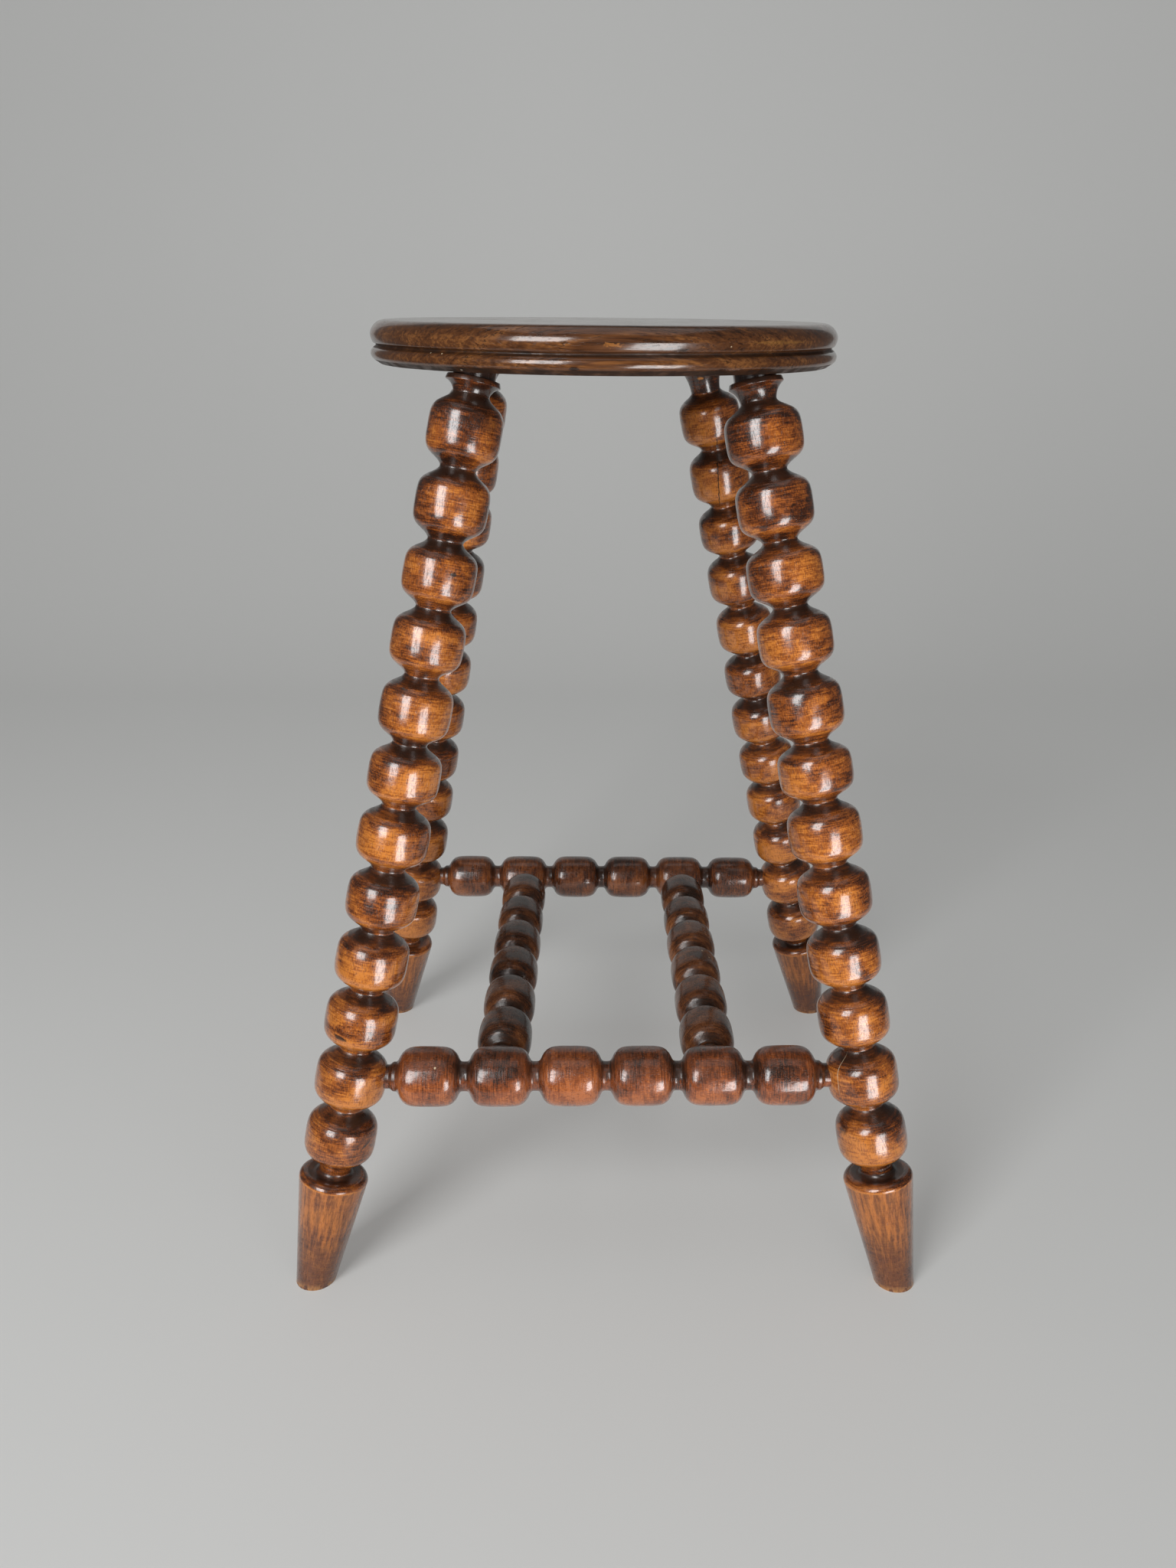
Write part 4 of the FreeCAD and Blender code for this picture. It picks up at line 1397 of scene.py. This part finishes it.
@dataclass
class Stool:
    """The seat, its four legs and the stretchers that tie them."""

    legs: tuple[LegPlan, ...] = LEGS
    front_diameter: float = 0.0387
    back_diameter: float = 0.0364
    cross_diameter: float = 0.0366
    cross_share: float = 0.25
    back_lean: Point = (0.0013, -0.0020)
    left_sway: float = 0.0027

    def seat(self) -> Seat:
        """Give the seat, on the middle of its underside."""
        middle = np.array([0.0, 0.0, PLAN.underside])
        return Seat("seat", "seat_wood", SeatFinish(), middle, middle + PLAN.seat_turning[:, 2])

    def leg(self, plan: LegPlan) -> Leg:
        """Give one leg."""
        shift = (0.37 * plan.seed, 0.21 * plan.seed, 0.11 * plan.seed)
        finish = TurnedFinish(
            f"{plan.node} varnish", shift=shift, offset=plan.pale, blemishes=plan.blemishes
        )
        foot, top = PLAN.leg_ends(plan.side, plan.depth)
        top = top + np.array([plan.sway, 0.0, 0.0])
        return Leg(
            plan.node,
            "leg_wood",
            finish,
            foot,
            top,
            seed=plan.seed,
            diameter=plan.widths[0],
            narrowing=plan.widths[0] - plan.widths[1],
            lip_diameter=plan.lip,
            shifts=tuple(mm / 1000.0 for mm in plan.shifts_mm),
        )

    def stretcher(self, depth: int) -> Rail:
        """Give the front or the back stretcher."""
        front = depth < 0
        name = "stretcher_front" if front else "stretcher_back"
        finish = TurnedFinish(
            f"{name} varnish",
            shift=(1.3, 2.7 + depth, 0.4),
            rings=0.30,
            shoulder=0.20,
            ledge=0.55,
            neck=0.0,
            **RAILS[depth],
        )
        diameter = self.front_diameter if front else self.back_diameter
        start, end = PLAN.on_leg(-1, depth), PLAN.on_leg(1, depth)
        if not front:
            start[2], end[2] = start[2] + self.back_lean[0], end[2] + self.back_lean[1]
        return Rail(name, "stretcher_wood", finish, start, end, seed=30 + depth, diameter=diameter)

    def cross_stretcher(self, side: int) -> Rail:
        """Give the left or the right cross stretcher, between the other two."""
        name = f"cross_stretcher_{'left' if side < 0 else 'right'}"
        ends = []
        for depth in (-1, 1):
            rail = self.stretcher(depth)
            first, last = rail.row_ends()
            share = 0.5 + side * self.cross_share * (last - first) / rail.length
            ends.append(rail.start + (rail.end - rail.start) * share)
        if side < 0:
            ends[1] = ends[1] + np.array([self.left_sway, 0.0, 0.0])
        # Its colours are darker than the other stretchers': painted shade for the little light that
        # reaches it
        finish = TurnedFinish(
            f"{name} varnish",
            black=(0.016, 0.009, 0.006),
            dark=(0.055, 0.019, 0.008),
            middle=(0.135, 0.046, 0.016),
            light=(0.260, 0.098, 0.034),
            shift=(2.9, 0.8 + side, 3.3),
            gloss=0.20,
            coat=0.40,
            specular=0.28,
            ledge=0.30,
            blemishes=CROSS_BLEMISHES if side > 0 else (),
        )
        return Rail(
            name,
            "cross_stretcher_wood",
            finish,
            *ends,
            seed=40 + side,
            diameter=self.cross_diameter,
            neck_diameter=0.0172,
            end_neck=0.005,
            tenon_diameter=0.0136,
            tenon_depth=0.011,
            reach_start=0.0197,
            reach_end=0.0182,
        )

    def build(self) -> None:
        """Build every piece."""
        self.seat().build()
        for plan in self.legs:
            self.leg(plan).build()
        for depth in (-1, 1):
            self.stretcher(depth).build()
        for side in (-1, 1):
            self.cross_stretcher(side).build()


# ---------------------------------------------------------------- studio


@dataclass(frozen=True)
class Softbox:
    """A rectangular lamp that faces the stool.

    Attributes:
        place: its middle.
        aim: the point that it faces.
        wide: its width.
        tall: its height.
        radiance: how bright its face is, where 1 is white.
    """

    name: str
    place: Triple
    aim: Triple
    wide: float
    tall: float
    radiance: float

    def build(self) -> None:
        """Add the lamp. Its power is its radiance times pi times its area."""
        lamp = bpy.data.lights.new(self.name, "AREA")
        lamp.shape = "RECTANGLE"
        lamp.size, lamp.size_y = self.wide, self.tall
        lamp.energy = self.radiance * np.pi * self.wide * self.tall
        item = bpy.data.objects.new(self.name, lamp)
        item.location = self.place
        away = Vector(self.place) - Vector(self.aim)
        item.rotation_euler = away.to_track_quat("Z", "Y").to_euler()
        item.visible_camera = False
        bpy.context.scene.collection.objects.link(item)


@dataclass(frozen=True)
class Studio:
    """The floor with its sweep, the lamps, the world and the camera."""

    floor_front: float = -0.43
    floor_back: float = 1.30
    half_widths: Point = (0.55, 1.5)
    sweep_radius: float = 0.9
    wall_height: float = 2.4
    floor_colour: Triple = (0.47, 0.475, 0.47)
    glow_colour: Triple = (0.20, 0.20, 0.195)
    world_colour: Triple = (0.08, 0.08, 0.08)
    floor_roughness: float = 0.65
    lens: float = 28.06
    sensor: float = 36.0
    nearest: float = 0.01
    camera_place: Triple = (-0.00185, -0.84747, 0.59034)
    yaw: float = -0.64
    pitch: float = 19.54
    roll: float = 0.28
    aim: Triple = (0.0, 0.0, 0.33)

    def floor(self) -> None:
        """Make the floor, which curves up into a wall behind the stool.

        It is a line, a quarter circle and a line in (depth, height), carried along X and wider
        at the back. It glows a little where it is seen, also in the varnish, and adds no light
        to the stool.
        """
        angle = np.linspace(0.0, np.pi / 2, 33)
        depth = self.floor_back + self.sweep_radius * np.sin(angle)
        height = self.sweep_radius * (1.0 - np.cos(angle))
        depth = np.concatenate([[self.floor_front], depth, depth[-1:]])
        height = np.concatenate([[0.0], height, [self.wall_height]])
        half = np.interp(depth, [self.floor_front, self.floor_back], self.half_widths)
        points = np.stack([[-half, depth, height], [half, depth, height]], axis=0)
        points = points.transpose(2, 0, 1)
        rows = np.arange(len(depth) - 1) * 2
        faces = np.stack([rows, rows + 1, rows + 3, rows + 2], axis=1)
        mesh = bpy.data.meshes.new("floor")
        mesh.from_pydata(points.reshape(-1, 3).tolist(), [], faces.tolist())
        mesh.shade_smooth()
        material = bpy.data.materials.new("pale floor")
        material.use_nodes = True
        desk = NodeDesk(material.node_tree)
        shader = desk.tree.nodes["Principled BSDF"]
        rays = desk.add("ShaderNodeLightPath").outputs
        seen = desk.most(*(rays[f"Is {kind} Ray"] for kind in ("Camera", "Glossy", "Transmission")))
        feeds = {
            "Base Color": self.floor_colour,
            "Roughness": self.floor_roughness,
            "Emission Color": desk.blend(seen, ORIGIN, self.glow_colour),
            "Emission Strength": 1.0,
        }
        for name, value in feeds.items():
            desk.feed(shader.inputs[name], value)
        mesh.materials.append(material)
        item = bpy.data.objects.new("floor", mesh)
        bpy.context.scene.collection.objects.link(item)

    def world(self) -> None:
        """Light everything evenly with a pale world."""
        world = bpy.data.worlds.new("studio")
        world.use_nodes = True
        background = world.node_tree.nodes["Background"]
        background.inputs["Color"].default_value = (*self.world_colour, 1.0)
        bpy.context.scene.world = world

    def camera(self) -> None:
        """Set the camera at the photograph's viewpoint.

        It looks along (sin yaw cos pitch, cos yaw cos pitch, -sin pitch) and is rolled about
        that direction.
        """
        data = bpy.data.cameras.new("camera")
        data.lens = self.lens
        data.sensor_width = self.sensor
        data.clip_start = self.nearest
        matrix = Matrix.Translation(self.camera_place)
        for degrees, axis in ((-self.yaw, "Z"), (90.0 - self.pitch, "X"), (-self.roll, "Z")):
            matrix = matrix @ Matrix.Rotation(np.radians(degrees), 4, axis)
        item = bpy.data.objects.new("camera", data)
        item.matrix_world = matrix
        bpy.context.scene.collection.objects.link(item)
        bpy.context.scene.camera = item

    def build(self) -> None:
        """Set up the studio."""
        self.floor()
        self.world()
        self.camera()
        Softbox("left_window", (-1.05, -1.85, 1.20), self.aim, 0.95, 1.70, 9.5).build()
        Softbox("right_window", (0.60, -1.24, -0.22), self.aim, 0.62, 1.15, 9.0).build()
        Softbox("overhead", (0.0, -0.1, 2.3), self.aim, 1.8, 1.8, 0.5).build()
        bpy.context.scene.view_settings.view_transform = "Standard"


def main() -> None:
    """Build the studio and the stool."""
    logging.basicConfig(level=logging.INFO, format="%(name)s: %(message)s")
    Studio().build()
    Stool().build()


if __name__ == "__main__":
    main()
